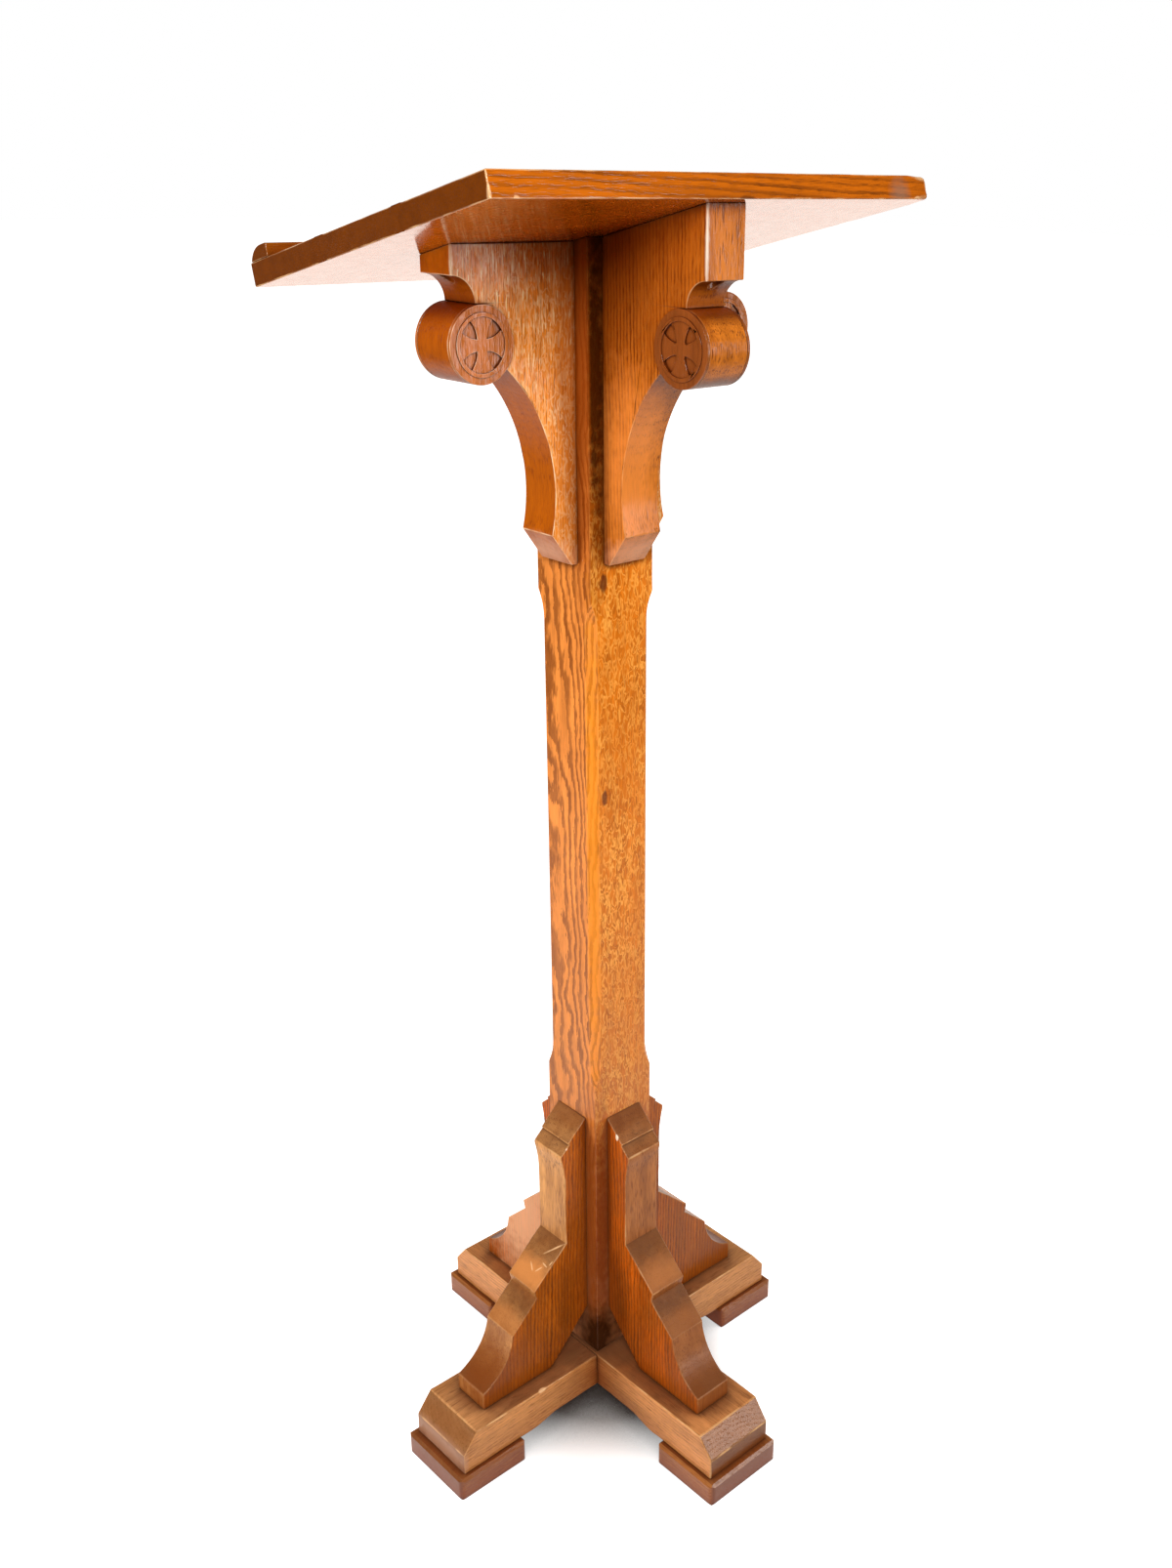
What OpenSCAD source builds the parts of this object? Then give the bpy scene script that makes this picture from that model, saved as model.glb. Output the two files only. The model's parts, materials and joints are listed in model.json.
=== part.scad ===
// Church lectern in oak: a sloping bookboard with a ledge, on four scrolled
// brackets round a square post, which stands on a cross of two halved beams
// braced by four stepped buttresses.
// Millimetres. +Z is up, +X is the reader's right, and the reader stands on
// the -Y side, where the bookboard is low. The origin is on the floor, on the
// post's axis.

/* [Bookboard] */
// Width of the bookboard, along its grain
board_w = 480; // [440:1:540]
// Post's axis to the high edge, measured up the slope
board_high = 182; // [176:1:215]
// Post's axis to the low edge, measured down the slope
board_low = 157; // [150:1:195]
// Thickness of the bookboard
board_t = 20; // [18:1:26]
// Slope of the bookboard in degrees
board_slope = 13.6; // [8:0.1:18]
// Height of the bookboard's underside over the post's axis
board_height = 1233.6; // [1120:0.1:1320]
// Thickness of the loose tongues between the planks
tongue_t = 5; // [4:0.5:7]
// Width of the loose tongues
tongue_w = 16; // [12:1:22]
// Distance that the tongues stop short of the plank ends
tongue_stop = 30; // [20:1:60]

/* [Book ledge] */
// Depth of the ledge, up the slope
ledge_d = 30; // [26:1:40]
// Height that the ledge stands above the bookboard
ledge_h = 11; // [9:0.5:16]
// Radius of the ledge's rounded front
ledge_nose_r = 20; // [16:1:26]
// Radius of the ledge's inner top edge
ledge_inner_r = 2; // [1:0.5:4]
// Radius of the ledge's dowels
ledge_dowel_r = 3; // [2.5:0.5:4]

/* [Post] */
// Width of the square post
post_w = 76; // [68:1:84]
// Leg of the chamfer on the post's arrises
post_chamfer = 8; // [4:0.5:11]
// Height where the chamfer's lower stop runs out
chamfer_from = 412; // [395:1:440]
// Height where the chamfer's upper stop runs out
chamfer_to = 928; // [880:1:940]
// Length of each chamfer stop
stop_l = 28; // [15:1:45]
// Width of the square tenon under the post
tenon_w = 40; // [30:1:46]

/* [Upper brackets] */
// Thickness of the upper brackets
bracket_t = 43; // [38:1:48]
// Underside of the bookboard on the post's axis to the foot of a bracket
bracket_drop = 271.6; // [262:0.1:290]
// Reach of the flat land under the bookboard, from the post's face
land_reach = 126.4; // [122:0.1:134]
// Radius of the scroll at the end of a bracket
scroll_r = 32; // [28:0.5:34]
// Scroll's centre from the post's face
scroll_reach = 100.6; // [96:0.1:104]
// Scroll's centre below the bookboard's underside on the post's axis
scroll_drop = 73.6; // [73:0.1:80]
// Radius of the cove between the scroll and the land
cove_r = 22.5; // [21:0.5:24]
// Radius of the long sweep under a bracket
sweep_r = 148; // [140:1:160]
// Narrowest projection of a bracket from the post's face
neck = 24.5; // [22:0.5:30]
// Height of the narrowest place above the bracket's foot
neck_rise = 66; // [60:1:75]
// Projection of the bracket's foot from the post's face
heel = 7.3; // [5:0.1:12]
// Height of the splay above the bracket's foot
heel_rise = 29.5; // [24:0.5:36]

/* [Roundels] */
// Thickness of a roundel
roundel_t = 4; // [3:0.5:6]
// Outer radius of the raised bead
bead_r = 26; // [25:0.5:27]
// Width of the raised bead
bead_w = 3.5; // [2:0.5:5]
// Height of the bead above the rim and the cross
bead_h = 0.9; // [0.5:0.1:1.4]
// Depth of the pockets between the arms of the cross
pocket_d = 1.5; // [0.8:0.1:2]
// Distance from the cross's centre to a pocket's point
pocket_tip = 6.9; // [5:0.1:9]
// Half of the angle that an arm of the cross spans at the bead
arm_angle = 30; // [24:1:34]
// Radius of the arms' curved sides
arm_side_r = 22.5; // [16:0.5:40]

/* [Foot beams and pads] */
// Length of each foot beam
beam_l = 446; // [420:1:480]
// Width of each foot beam
beam_w = 84; // [80:1:92]
// Height of each foot beam
beam_h = 46; // [40:1:56]
// Length of the splay at a beam's end
beam_splay_l = 17.5; // [10:0.5:20]
// Height of the splay at a beam's end
beam_splay_h = 22; // [12:1:26]
// Rise of the hollowed underside
hollow_rise = 6; // [5:0.5:10]
// Half length of the flat part of the hollowed underside
hollow_flat = 95; // [80:1:100]
// Length of the curve at each end of the hollowed underside
hollow_curve = 40; // [25:1:45]
// Length of a foot pad along its beam
pad_l = 85; // [74:1:90]
// Width of a foot pad across its beam
pad_w = 97; // [93:1:104]
// Thickness of a foot pad
pad_t = 26; // [20:1:32]
// Distance that a foot pad stands out past its beam's end
pad_lip = 9; // [4:1:12]
// Radius of the foot pads' upright corners
pad_corner_r = 6; // [4:0.5:10]
// Chamfer on the foot pads' top edges
pad_ease = 3; // [1:0.5:4]
// Chamfer on the foot pads' bottom edges
pad_foot_ease = 1.5; // [0.5:0.5:3]

/* [Buttresses] */
// Thickness of the buttresses
buttress_t = 45; // [40:1:50]
// Height of a buttress above its beam
buttress_h = 299.5; // [290:0.5:310]
// Projection of the cap from the post's face
cap_out = 34; // [32:0.5:40]
// Fall of the cap's two weathered slopes
cap_fall = 34.5; // [30:0.5:40]
// Projection of the break between the cap's two slopes
cap_break_out = 24; // [20:0.5:28]
// Fall to the break between the cap's two slopes
cap_break_fall = 22.5; // [18:0.5:26]
// Step under the break in the cap
cap_step = 2; // [1:0.5:3]
// Upright nose at the cap's edge
cap_nose = 4; // [2:0.5:6]
// Projection of the shaft under the cap
shaft_out = 29.3; // [26:0.1:31]
// Height of the hollow under the cap
cap_cove_h = 34; // [25:1:45]
// Height above the beam where the second weathering starts
second_top = 153; // [145:1:160]
// Projection of the second weathering
second_out = 73.3; // [70:0.1:78]
// Height above the beam where the second weathering ends
second_low = 113.5; // [110:0.5:118]
// Undercut below the second weathering
undercut = 2.8; // [1:0.1:4]
// Height of the undercut
undercut_h = 10; // [6:0.5:12]
// Projection where the third weathering ends
third_out = 103.6; // [98:0.1:108]
// Height above the beam where the third weathering ends
third_low = 72.7; // [68:0.1:78]
// Projection of the toe
toe_out = 144.2; // [138:0.1:150]
// Height of the upright toe
toe_h = 20; // [14:0.5:24]
// Radius of the hollow above the toe
toe_r = 62; // [58:1:80]
// Length of the corner that is cut away by the post, along the beam
relief_out = 52.6; // [40:0.1:58]
// Height of the corner that is cut away by the post
relief_h = 55.3; // [40:0.1:65]

/* [Dowels and screws] */
// Radius of the dowels in the brackets and buttresses
dowel_r = 5; // [4:0.5:6]
// Depth of each dowel hole
dowel_d = 20; // [14:1:22]
// Heights of the bracket dowels above the bracket's foot
bracket_dowel_low = 45; // [38:1:60]
// Height of the upper bracket dowels above the bracket's foot
bracket_dowel_high = 190; // [120:1:200]
// Height of the lower buttress dowels above the beam
buttress_dowel_low = 110; // [85:1:130]
// Height of the upper buttress dowels above the beam
buttress_dowel_high = 240; // [200:1:250]
// Radius of the board dowels in the front bracket
board_dowel_r = 4; // [3:0.5:5]
// Depth of the board dowels in the bookboard
board_dowel_d = 10; // [8:0.5:12]
// Radius of the screws' shanks
screw_r = 2.3; // [1.8:0.1:3]
// Radius of the screws' heads
screw_head_r = 4.8; // [4:0.1:6]
// Height of the screws' tapered heads
screw_head_h = 3; // [2:0.5:4]
// Length of the screws in the upper brackets
bracket_screw_l = 27; // [22:1:29]
// Wood that a bracket screw holds under the bookboard
bracket_screw_grip = 13.5; // [11:0.5:14]
// Radius of the pocket for a bracket screw
screw_pocket_r = 6.5; // [6:0.5:8]
// Pocket's axis inside the face of the land
screw_pocket_in = 10.4; // [9:0.1:12]
// Length of the screws through the beams
buttress_screw_l = 60; // [50:1:62]
// Distance of the inner beam screws from the post's face
buttress_screw_near = 70; // [66:1:78]
// Distance of the outer beam screws from the post's face
buttress_screw_far = 101; // [92:1:103]
// Length of the screws through the foot pads
pad_screw_l = 42; // [34:1:50]
// Distance of the foot pad screws from the middle of the beam
pad_screw_side = 29; // [26:1:33]
// Depth of the foot pad screws' heads above the floor
pad_screw_sink = 2; // [1:0.5:6]

/* [Hidden] */

$fn = 96;

// Room round dowels, tongues, screws and the tenon, and at their ends
fit_gap = 0.1;
end_gap = 0.5;
// Length that a cutting shape runs past what it cuts
past = 1;
// Larger than anything here, for cutting shapes with no end
far = 1000;

post_face = post_w / 2;
beam_top = pad_t + beam_h;
beam_under = pad_t + hollow_rise;
lap_height = (beam_under + beam_top) / 2;
pad_out = beam_l / 2 + pad_lip;
pad_middle = pad_out - pad_l / 2;

bracket_foot = board_height - bracket_drop;
scroll_x = post_face + scroll_reach;
scroll_z = board_height - scroll_drop;
land_x = post_face + land_reach;
pocket_x = land_x - screw_pocket_in;

plank_w = (board_low + board_high) / 3;
board_dowel_places = [70, 115];
ledge_dowel_spread = [-0.4, -0.13, 0.13, 0.4];

// Turns of the four feet and brackets round the post
RIGHT = 0;
REAR = 90;
LEFT = 180;
FRONT = 270;
SIDES = [RIGHT, REAR, LEFT, FRONT];

OAK = [0.72, 0.42, 0.16];
DARK_OAK = [0.55, 0.30, 0.14];
BEECH = [0.80, 0.62, 0.42];
STEEL = [0.60, 0.60, 0.58];

// Centre of a circle of radius r through p and q, to the right of p to q
function arc_centre(p, q, r) =
    let (d = q - p, half = norm(d) / 2, rise = sqrt(r * r - half * half))
    (p + q) / 2 + [d[1], -d[0]] / norm(d) * rise;

// Height of the bookboard's underside at a distance y behind the post's axis
function underside(y) = board_height + y * tan(board_slope);

// Distance behind the post's axis of the point at reach x on a given side
function behind(side, x) = x * sin(side);

module turned(side) {
    rotate([0, 0, side]) children();
}

module upright(thickness) {
    rotate([90, 0, 0]) linear_extrude(thickness, center = true) children();
}

module on_board() {
    translate([0, 0, board_height]) rotate([board_slope, 0, 0]) children();
}

module above_board() {
    on_board() translate([-far, -far, 0]) cube([2 * far, 2 * far, far]);
}

// Side view of a foot pad of a given length, its long edges chamfered
module pad_side(length) {
    half = length / 2;
    polygon([
        [-half + pad_foot_ease, 0], [half - pad_foot_ease, 0],
        [half, pad_foot_ease], [half, pad_t - pad_ease],
        [half - pad_ease, pad_t], [-half + pad_ease, pad_t],
        [-half, pad_t - pad_ease], [-half, pad_foot_ease]
    ]);
}

// Plan of a foot pad, its corners rounded
module pad_plan() {
    square([pad_l - 2 * pad_corner_r, pad_w], center = true);
    square([pad_l, pad_w - 2 * pad_corner_r], center = true);
    for (x = [-1, 1], y = [-1, 1])
        translate([x * (pad_l / 2 - pad_corner_r), y * (pad_w / 2 - pad_corner_r)])
            circle(r = pad_corner_r);
}

// Countersunk wood screw, head down, its head's flat on the XY plane
module wood_screw(length, gap = 0) {
    point = 2 * screw_r;
    rotate_extrude() polygon([
        [0, -gap], [screw_head_r + gap, -gap],
        [screw_r + gap, screw_head_h],
        [screw_r + gap, length - point],
        [0, length + gap]
    ]);
}

// Dowel across the joint at the post's face, pointing along +X
module face_dowel(height, gap = 0) {
    reach = dowel_d - end_gap + (gap > 0 ? end_gap : 0);
    translate([post_face - reach, 0, height]) rotate([0, 90, 0])
        cylinder(h = 2 * reach, r = dowel_r + gap);
}

module bracket_dowel_pair(gap = 0) {
    face_dowel(bracket_foot + bracket_dowel_low, gap);
    face_dowel(bracket_foot + bracket_dowel_high, gap);
}

module buttress_dowel_pair(gap = 0) {
    face_dowel(beam_top + buttress_dowel_low, gap);
    face_dowel(beam_top + buttress_dowel_high, gap);
}

// Places each screw that comes up through a beam into a buttress
module at_buttress_screws() {
    for (out = [buttress_screw_near, buttress_screw_far])
        translate([post_face + out, 0, beam_top + 25 - buttress_screw_l]) children();
}

// Places each screw that holds a foot pad
module at_pad_screws() {
    for (side = [-1, 1])
        translate([pad_middle, side * pad_screw_side, pad_screw_sink]) children();
}

// Side view of a foot beam, splayed at its ends and hollowed below
module beam_outline() {
    half = beam_l / 2;
    steps = 12;
    curve = [for (i = [0:steps])
        [hollow_flat + hollow_curve * (1 - i / steps),
         pad_t + hollow_rise * (1 - cos(180 * i / steps)) / 2]];
    mirrored = [for (i = [steps:-1:0]) [-curve[i][0], curve[i][1]]];
    polygon(concat(
        [[half, pad_t]], curve, mirrored,
        [[-half, pad_t], [-half, beam_top - beam_splay_h],
         [-half + beam_splay_l, beam_top], [half - beam_splay_l, beam_top],
         [half, beam_top - beam_splay_h]]
    ));
}

module tenon(gap = 0) {
    width = tenon_w + 2 * gap;
    translate([-width / 2, -width / 2, beam_under - gap * past])
        cube([width, width, beam_h - hollow_rise + gap * past]);
}

// Foot beam along X; lap_low and lap_high bound what the other beam takes
module foot_beam(lap_low, lap_high) {
    difference() {
        upright(beam_w) beam_outline();
        translate([-beam_w / 2, -beam_w, lap_low])
            cube([beam_w, 2 * beam_w, lap_high - lap_low]);
        translate([-tenon_w / 2 - fit_gap, -tenon_w / 2 - fit_gap, 0])
            cube([tenon_w + 2 * fit_gap, tenon_w + 2 * fit_gap, far]);
        for (end = [RIGHT, LEFT]) turned(end) {
            at_buttress_screws() {
                wood_screw(buttress_screw_l, fit_gap);
                translate([0, 0, -far]) cylinder(h = far, r = screw_head_r + 2 * fit_gap);
            }
            at_pad_screws() wood_screw(pad_screw_l, fit_gap);
        }
    }
}

module foot_beam_across() {
    color(OAK) foot_beam(lap_height, far);
}

module foot_beam_fore_aft() {
    color(OAK) turned(REAR) foot_beam(0, lap_height);
}

module foot_pad(side) {
    color(DARK_OAK) turned(side) difference() {
        translate([pad_middle, 0, 0]) intersection() {
            linear_extrude(pad_t) pad_plan();
            upright(pad_w) pad_side(pad_l);
            turned(REAR) upright(pad_l) pad_side(pad_w);
        }
        at_pad_screws() {
            wood_screw(pad_screw_l, fit_gap);
            translate([0, 0, -past - pad_screw_sink])
                cylinder(h = past + pad_screw_sink, r = screw_head_r + fit_gap);
        }
    }
}

// What is taken off one arris: a flat that sweeps out at both stops
module arris_cutter() {
    arris = post_face * sqrt(2);
    depth = post_chamfer / sqrt(2);
    stop_r = (stop_l * stop_l + depth * depth) / (2 * depth);
    low = chamfer_from + stop_l;
    high = chamfer_to - stop_l;
    rotate([0, 0, 45]) upright(2 * post_chamfer) {
        translate([arris - depth, low]) square([far, high - low]);
        for (stop = [low, high]) intersection() {
            translate([arris - depth + stop_r, stop]) circle(r = stop_r, $fn = 180);
            translate([arris - depth, stop - (stop == low ? stop_l : 0)])
                square([depth + past, stop_l]);
        }
    }
}

module post() {
    color(OAK) {
        difference() {
            translate([-post_face, -post_face, beam_top])
                cube([post_w, post_w, board_height]);
            above_board();
            for (side = SIDES) turned(side) {
                arris_cutter();
                bracket_dowel_pair(fit_gap);
                buttress_dowel_pair(fit_gap);
            }
        }
        translate([-tenon_w / 2, -tenon_w / 2, beam_under])
            cube([tenon_w, tenon_w, beam_top - beam_under]);
    }
}

// Side view of a buttress: x is out from the post's axis, y is up
module buttress_outline() {
    cap = [cap_out, buttress_h - cap_fall];
    nose = cap - [0, cap_nose];
    cove_foot = [shaft_out, nose[1] - cap_cove_h];
    third = [third_out, third_low];
    toe = [toe_out, toe_h];
    // The cove's arc comes down upright, so its radius follows from its size
    hollow = cap_out - shaft_out;
    cap_cove_r = (cap_cove_h * cap_cove_h + hollow * hollow) / (2 * hollow);
    translate([post_face, beam_top]) difference() {
        polygon([
            [0, relief_h], [0, buttress_h],
            [cap_break_out, buttress_h - cap_break_fall],
            [cap_break_out - cap_step / 2, buttress_h - cap_break_fall - cap_step],
            cap, nose, cove_foot,
            [shaft_out, second_top], [second_out, second_low],
            [second_out - undercut, second_low - undercut_h],
            third, toe, [toe_out, 0], [relief_out, 0]
        ]);
        translate([shaft_out + cap_cove_r, cove_foot[1]]) circle(r = cap_cove_r, $fn = 180);
        translate(arc_centre(toe, third, toe_r)) circle(r = toe_r, $fn = 180);
    }
}

module buttress(side) {
    color(OAK) turned(side) difference() {
        upright(buttress_t) buttress_outline();
        buttress_dowel_pair(fit_gap);
        at_buttress_screws() wood_screw(buttress_screw_l, fit_gap);
    }
}

// Side view of an upper bracket: x is out from the post's axis, y is up
module bracket_outline() {
    sweep_x = post_face + neck + sweep_r;
    sweep_z = bracket_foot + neck_rise;
    splay_z = bracket_foot + heel_rise;
    splay_x = sweep_x - sqrt(pow(sweep_r, 2) - pow(neck_rise - heel_rise, 2));
    cove_z = scroll_z + scroll_r;
    difference() {
        union() {
            translate([post_face, bracket_foot])
                square([scroll_reach, cove_z - bracket_foot]);
            translate([post_face, cove_z]) square([land_reach, far]);
        }
        translate([sweep_x, sweep_z]) circle(r = sweep_r, $fn = 240);
        translate([land_x, cove_z]) circle(r = cove_r);
        polygon([
            [post_face + heel, bracket_foot], [splay_x, splay_z],
            [scroll_x + past, splay_z], [scroll_x + past, bracket_foot - past],
            [post_face + heel, bracket_foot - past]
        ]);
    }
    translate([scroll_x, scroll_z]) circle(r = scroll_r);
}

// Height of the seat for a bracket screw's head
function pocket_seat(side) =
    underside(behind(side, pocket_x)) - bracket_screw_grip;

// The pocket runs down from its seat to the hollow of the cove
function pocket_depth(side) = pocket_seat(side) - scroll_z - scroll_r;

module bracket_blank(side) {
    difference() {
        turned(side) difference() {
            upright(bracket_t) bracket_outline();
            bracket_dowel_pair(fit_gap);
        }
        above_board();
    }
}

module screwed_bracket(side) {
    color(OAK) difference() {
        bracket_blank(side);
        turned(side) translate([pocket_x, 0, pocket_seat(side)]) {
            wood_screw(bracket_screw_l, fit_gap);
            translate([0, 0, -pocket_depth(side)])
                cylinder(h = pocket_depth(side), r = screw_pocket_r);
        }
    }
}

module doweled_bracket(side) {
    color(OAK) difference() {
        bracket_blank(side);
        board_dowel_pair(fit_gap);
    }
}

// Dowels up from the front bracket, square to the bookboard
module board_dowel_pair(gap = 0) {
    reach = gap > 0 ? 0 : end_gap;
    on_board() for (place = board_dowel_places)
        translate([0, -place, -dowel_d + reach])
            cylinder(h = dowel_d + board_dowel_d - 2 * reach, r = board_dowel_r + gap);
}

// One leaf-shaped pocket between two arms, on the diagonal
module cross_pocket(field_r) {
    tip = pocket_tip * [cos(45), sin(45)];
    rim = field_r * [cos(arm_angle), sin(arm_angle)];
    centre = arc_centre(rim, tip, arm_side_r);
    intersection() {
        circle(r = field_r);
        translate(centre) circle(r = arm_side_r);
        translate([centre[1], centre[0]]) circle(r = arm_side_r);
    }
}

// Turned roundel with a bead and a carved cross, its back on the XY plane
module roundel_blank() {
    field_r = bead_r - bead_w;
    floor_z = roundel_t - bead_h;
    difference() {
        union() {
            cylinder(h = floor_z, r = scroll_r);
            cylinder(h = roundel_t, r = bead_r);
        }
        translate([0, 0, floor_z]) cylinder(h = roundel_t, r = field_r);
        for (quarter = SIDES)
            translate([0, 0, floor_z - pocket_d]) linear_extrude(roundel_t)
                rotate(quarter) cross_pocket(field_r);
    }
}

// face is 1 for the bracket's face on the anticlockwise side, or else -1
module roundel(side, face) {
    color(OAK) turned(side) translate([scroll_x, face * bracket_t / 2, scroll_z])
        rotate([-90 * face, 0, 0]) roundel_blank();
}

// Plank of the bookboard between two distances up the slope
module plank(from, to, grooves) {
    color(OAK) difference() {
        on_board() {
            difference() {
                translate([-board_w / 2, from, 0]) cube([board_w, to - from, board_t]);
                for (joint = grooves) tongue(joint, fit_gap, end_gap);
            }
        }
        bracket_screw_set(fit_gap);
        board_dowel_pair(fit_gap);
        ledge_dowel_set(fit_gap);
    }
}

function joint_place(number) = -board_low + number * plank_w;

module tongue(joint, gap = 0, run = 0) {
    width = tongue_w + 2 * run;
    length = board_w - 2 * tongue_stop + 2 * run;
    translate([-length / 2, joint_place(joint) - width / 2, board_t / 2 - tongue_t / 2 - gap])
        cube([length, width, tongue_t + 2 * gap]);
}

module plank_low() {
    plank(joint_place(0), joint_place(1), [1]);
}

module plank_middle() {
    plank(joint_place(1), joint_place(2), [1, 2]);
}

module plank_high() {
    plank(joint_place(2), joint_place(3), [2]);
}

module board_tongues() {
    color(BEECH) on_board() for (joint = [1, 2]) tongue(joint);
}

// End view of the ledge: x is up the slope from its front, y is above the bookboard
module ledge_outline() {
    intersection() {
        square([ledge_d, ledge_h]);
        union() {
            translate([ledge_nose_r, ledge_h - ledge_nose_r]) circle(r = ledge_nose_r, $fn = 180);
            translate([ledge_nose_r, 0])
                square([ledge_d - ledge_nose_r - ledge_inner_r, ledge_h]);
            translate([ledge_nose_r, 0])
                square([ledge_d - ledge_nose_r, ledge_h - ledge_inner_r]);
            translate([ledge_d - ledge_inner_r, ledge_h - ledge_inner_r])
                circle(r = ledge_inner_r);
        }
    }
}

module book_ledge() {
    color(OAK) difference() {
        on_board() translate([-board_w / 2, -board_low, board_t])
            rotate([90, 0, 90]) linear_extrude(board_w) ledge_outline();
        ledge_dowel_set(fit_gap);
    }
}

module ledge_dowel_set(gap = 0) {
    sunk = board_t / 2;
    raised = ledge_h / 2;
    reach = gap > 0 ? 0 : end_gap;
    on_board() for (share = ledge_dowel_spread)
        translate([share * board_w, -board_low + ledge_nose_r, board_t - sunk + reach])
            cylinder(h = sunk + raised - 2 * reach, r = ledge_dowel_r + gap);
}

module bracket_screw_set(gap = 0) {
    for (side = [RIGHT, REAR, LEFT]) turned(side)
        translate([pocket_x, 0, pocket_seat(side)]) wood_screw(bracket_screw_l, gap);
}

module bracket_screws() {
    color(STEEL) bracket_screw_set();
}

module ledge_dowels() {
    color(BEECH) ledge_dowel_set();
}

module board_dowels() {
    color(BEECH) board_dowel_pair();
}

module bracket_dowels() {
    color(BEECH) for (side = SIDES) turned(side) bracket_dowel_pair();
}

module buttress_dowels() {
    color(BEECH) for (side = SIDES) turned(side) buttress_dowel_pair();
}

module buttress_screws() {
    color(STEEL) for (side = SIDES) turned(side)
        at_buttress_screws() wood_screw(buttress_screw_l);
}

module pad_screws() {
    color(STEEL) for (side = SIDES) turned(side)
        at_pad_screws() wood_screw(pad_screw_l);
}

foot_beam_across();
foot_beam_fore_aft();
foot_pad(RIGHT);  // foot_pad_right
foot_pad(REAR);  // foot_pad_rear
foot_pad(LEFT);  // foot_pad_left
foot_pad(FRONT);  // foot_pad_front
post();
buttress(RIGHT);  // buttress_right
buttress(REAR);  // buttress_rear
buttress(LEFT);  // buttress_left
buttress(FRONT);  // buttress_front
screwed_bracket(RIGHT);  // bracket_right
screwed_bracket(REAR);  // bracket_rear
screwed_bracket(LEFT);  // bracket_left
doweled_bracket(FRONT);  // bracket_front
roundel(RIGHT, 1);  // roundel_right_rear_side
roundel(RIGHT, -1);  // roundel_right_front_side
roundel(REAR, 1);  // roundel_rear_left_side
roundel(REAR, -1);  // roundel_rear_right_side
roundel(LEFT, 1);  // roundel_left_front_side
roundel(LEFT, -1);  // roundel_left_rear_side
roundel(FRONT, 1);  // roundel_front_right_side
roundel(FRONT, -1);  // roundel_front_left_side
plank_low();
plank_middle();
plank_high();
board_tongues();
book_ledge();
ledge_dowels();
bracket_dowels();
buttress_dowels();
board_dowels();
bracket_screws();
buttress_screws();
pad_screws();
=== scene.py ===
"""An old church lectern in varnished oak, dressed over its joinery.

Oak is a ring-porous wood, so every board shows where it was cut from the tree: bold cathedral
figure on a flat-sawn face, straight lines and silvery ray flecks on a quartered one, and arcs on
its end grain. Each wood here says where the heart of its tree lay, and the arrises are rubbed
round and bare in patches, as a century of hands and dusters leaves them.
Lengths are in millimetres unless a comment says otherwise.
"""

import json
import math

import bmesh
import bpy
from mathutils import Matrix, Vector, noise


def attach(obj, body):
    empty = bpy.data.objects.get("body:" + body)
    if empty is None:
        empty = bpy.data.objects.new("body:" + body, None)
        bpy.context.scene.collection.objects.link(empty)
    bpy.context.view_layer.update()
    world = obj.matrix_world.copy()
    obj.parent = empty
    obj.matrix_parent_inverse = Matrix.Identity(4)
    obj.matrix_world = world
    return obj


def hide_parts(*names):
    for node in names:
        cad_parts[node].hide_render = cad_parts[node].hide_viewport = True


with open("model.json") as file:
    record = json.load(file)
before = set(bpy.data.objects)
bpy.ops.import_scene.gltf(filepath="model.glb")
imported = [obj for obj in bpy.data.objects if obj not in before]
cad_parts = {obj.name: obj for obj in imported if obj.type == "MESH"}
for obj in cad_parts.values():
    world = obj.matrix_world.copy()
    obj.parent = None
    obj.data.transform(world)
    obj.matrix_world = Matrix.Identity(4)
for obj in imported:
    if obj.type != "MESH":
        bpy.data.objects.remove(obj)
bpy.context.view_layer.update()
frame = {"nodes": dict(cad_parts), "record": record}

MM = 0.001
TO_MM = (1 / MM, 1 / MM, 1 / MM)
BODY = "root"
NODES = frame["nodes"]

# Turns that lay a piece's grain along Z: for wood that stands up, runs across or runs fore and aft
UPRIGHT = (0.0, 0.0, 0.0)
ACROSS = (0.0, -math.pi / 2, 0.0)
FORE_AFT = (math.pi / 2, 0.0, 0.0)


def board_slope():
    """The bookboard's slope, read from the face that the books rest on."""
    mounts = {mount["name"]: mount for mount in frame["record"]["mounts"]}
    axis = mounts["book_rest"]["axis"]
    return math.atan2(-axis[1], axis[2])


SLOPE = board_slope()
ON_BOARD = (-SLOPE, -math.pi / 2, 0.0)


def linear(hex_colour):
    """An sRGB hex colour as the linear RGBA that the shaders want."""
    parts = [int(hex_colour[i:i + 2], 16) / 255 for i in (1, 3, 5)]
    return [p / 12.92 if p <= 0.04045 else ((p + 0.055) / 1.055) ** 2.4 for p in parts] + [1.0]


def add(tree, kind, inputs=None, stops=(), **settings):
    """Adds a node: its settings, a link or a value for each input, and a colour ramp's grey stops."""
    node = tree.nodes.new(kind)
    for name, value in settings.items():
        setattr(node, name, value)
    for key, value in (inputs or {}).items():
        if isinstance(value, bpy.types.Node):
            value = next(s for s in value.outputs if s.enabled)
        if isinstance(value, bpy.types.NodeSocket):
            tree.links.new(value, node.inputs[key])
        else:
            node.inputs[key].default_value = value
    if stops:
        ramp = node.color_ramp
        while len(ramp.elements) < len(stops):
            ramp.elements.new(1.0)
        for element, (position, grey) in zip(ramp.elements, stops):
            element.position = position
            element.color = (grey, grey, grey, 1.0)
    return node


# Oak's own figure

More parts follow.
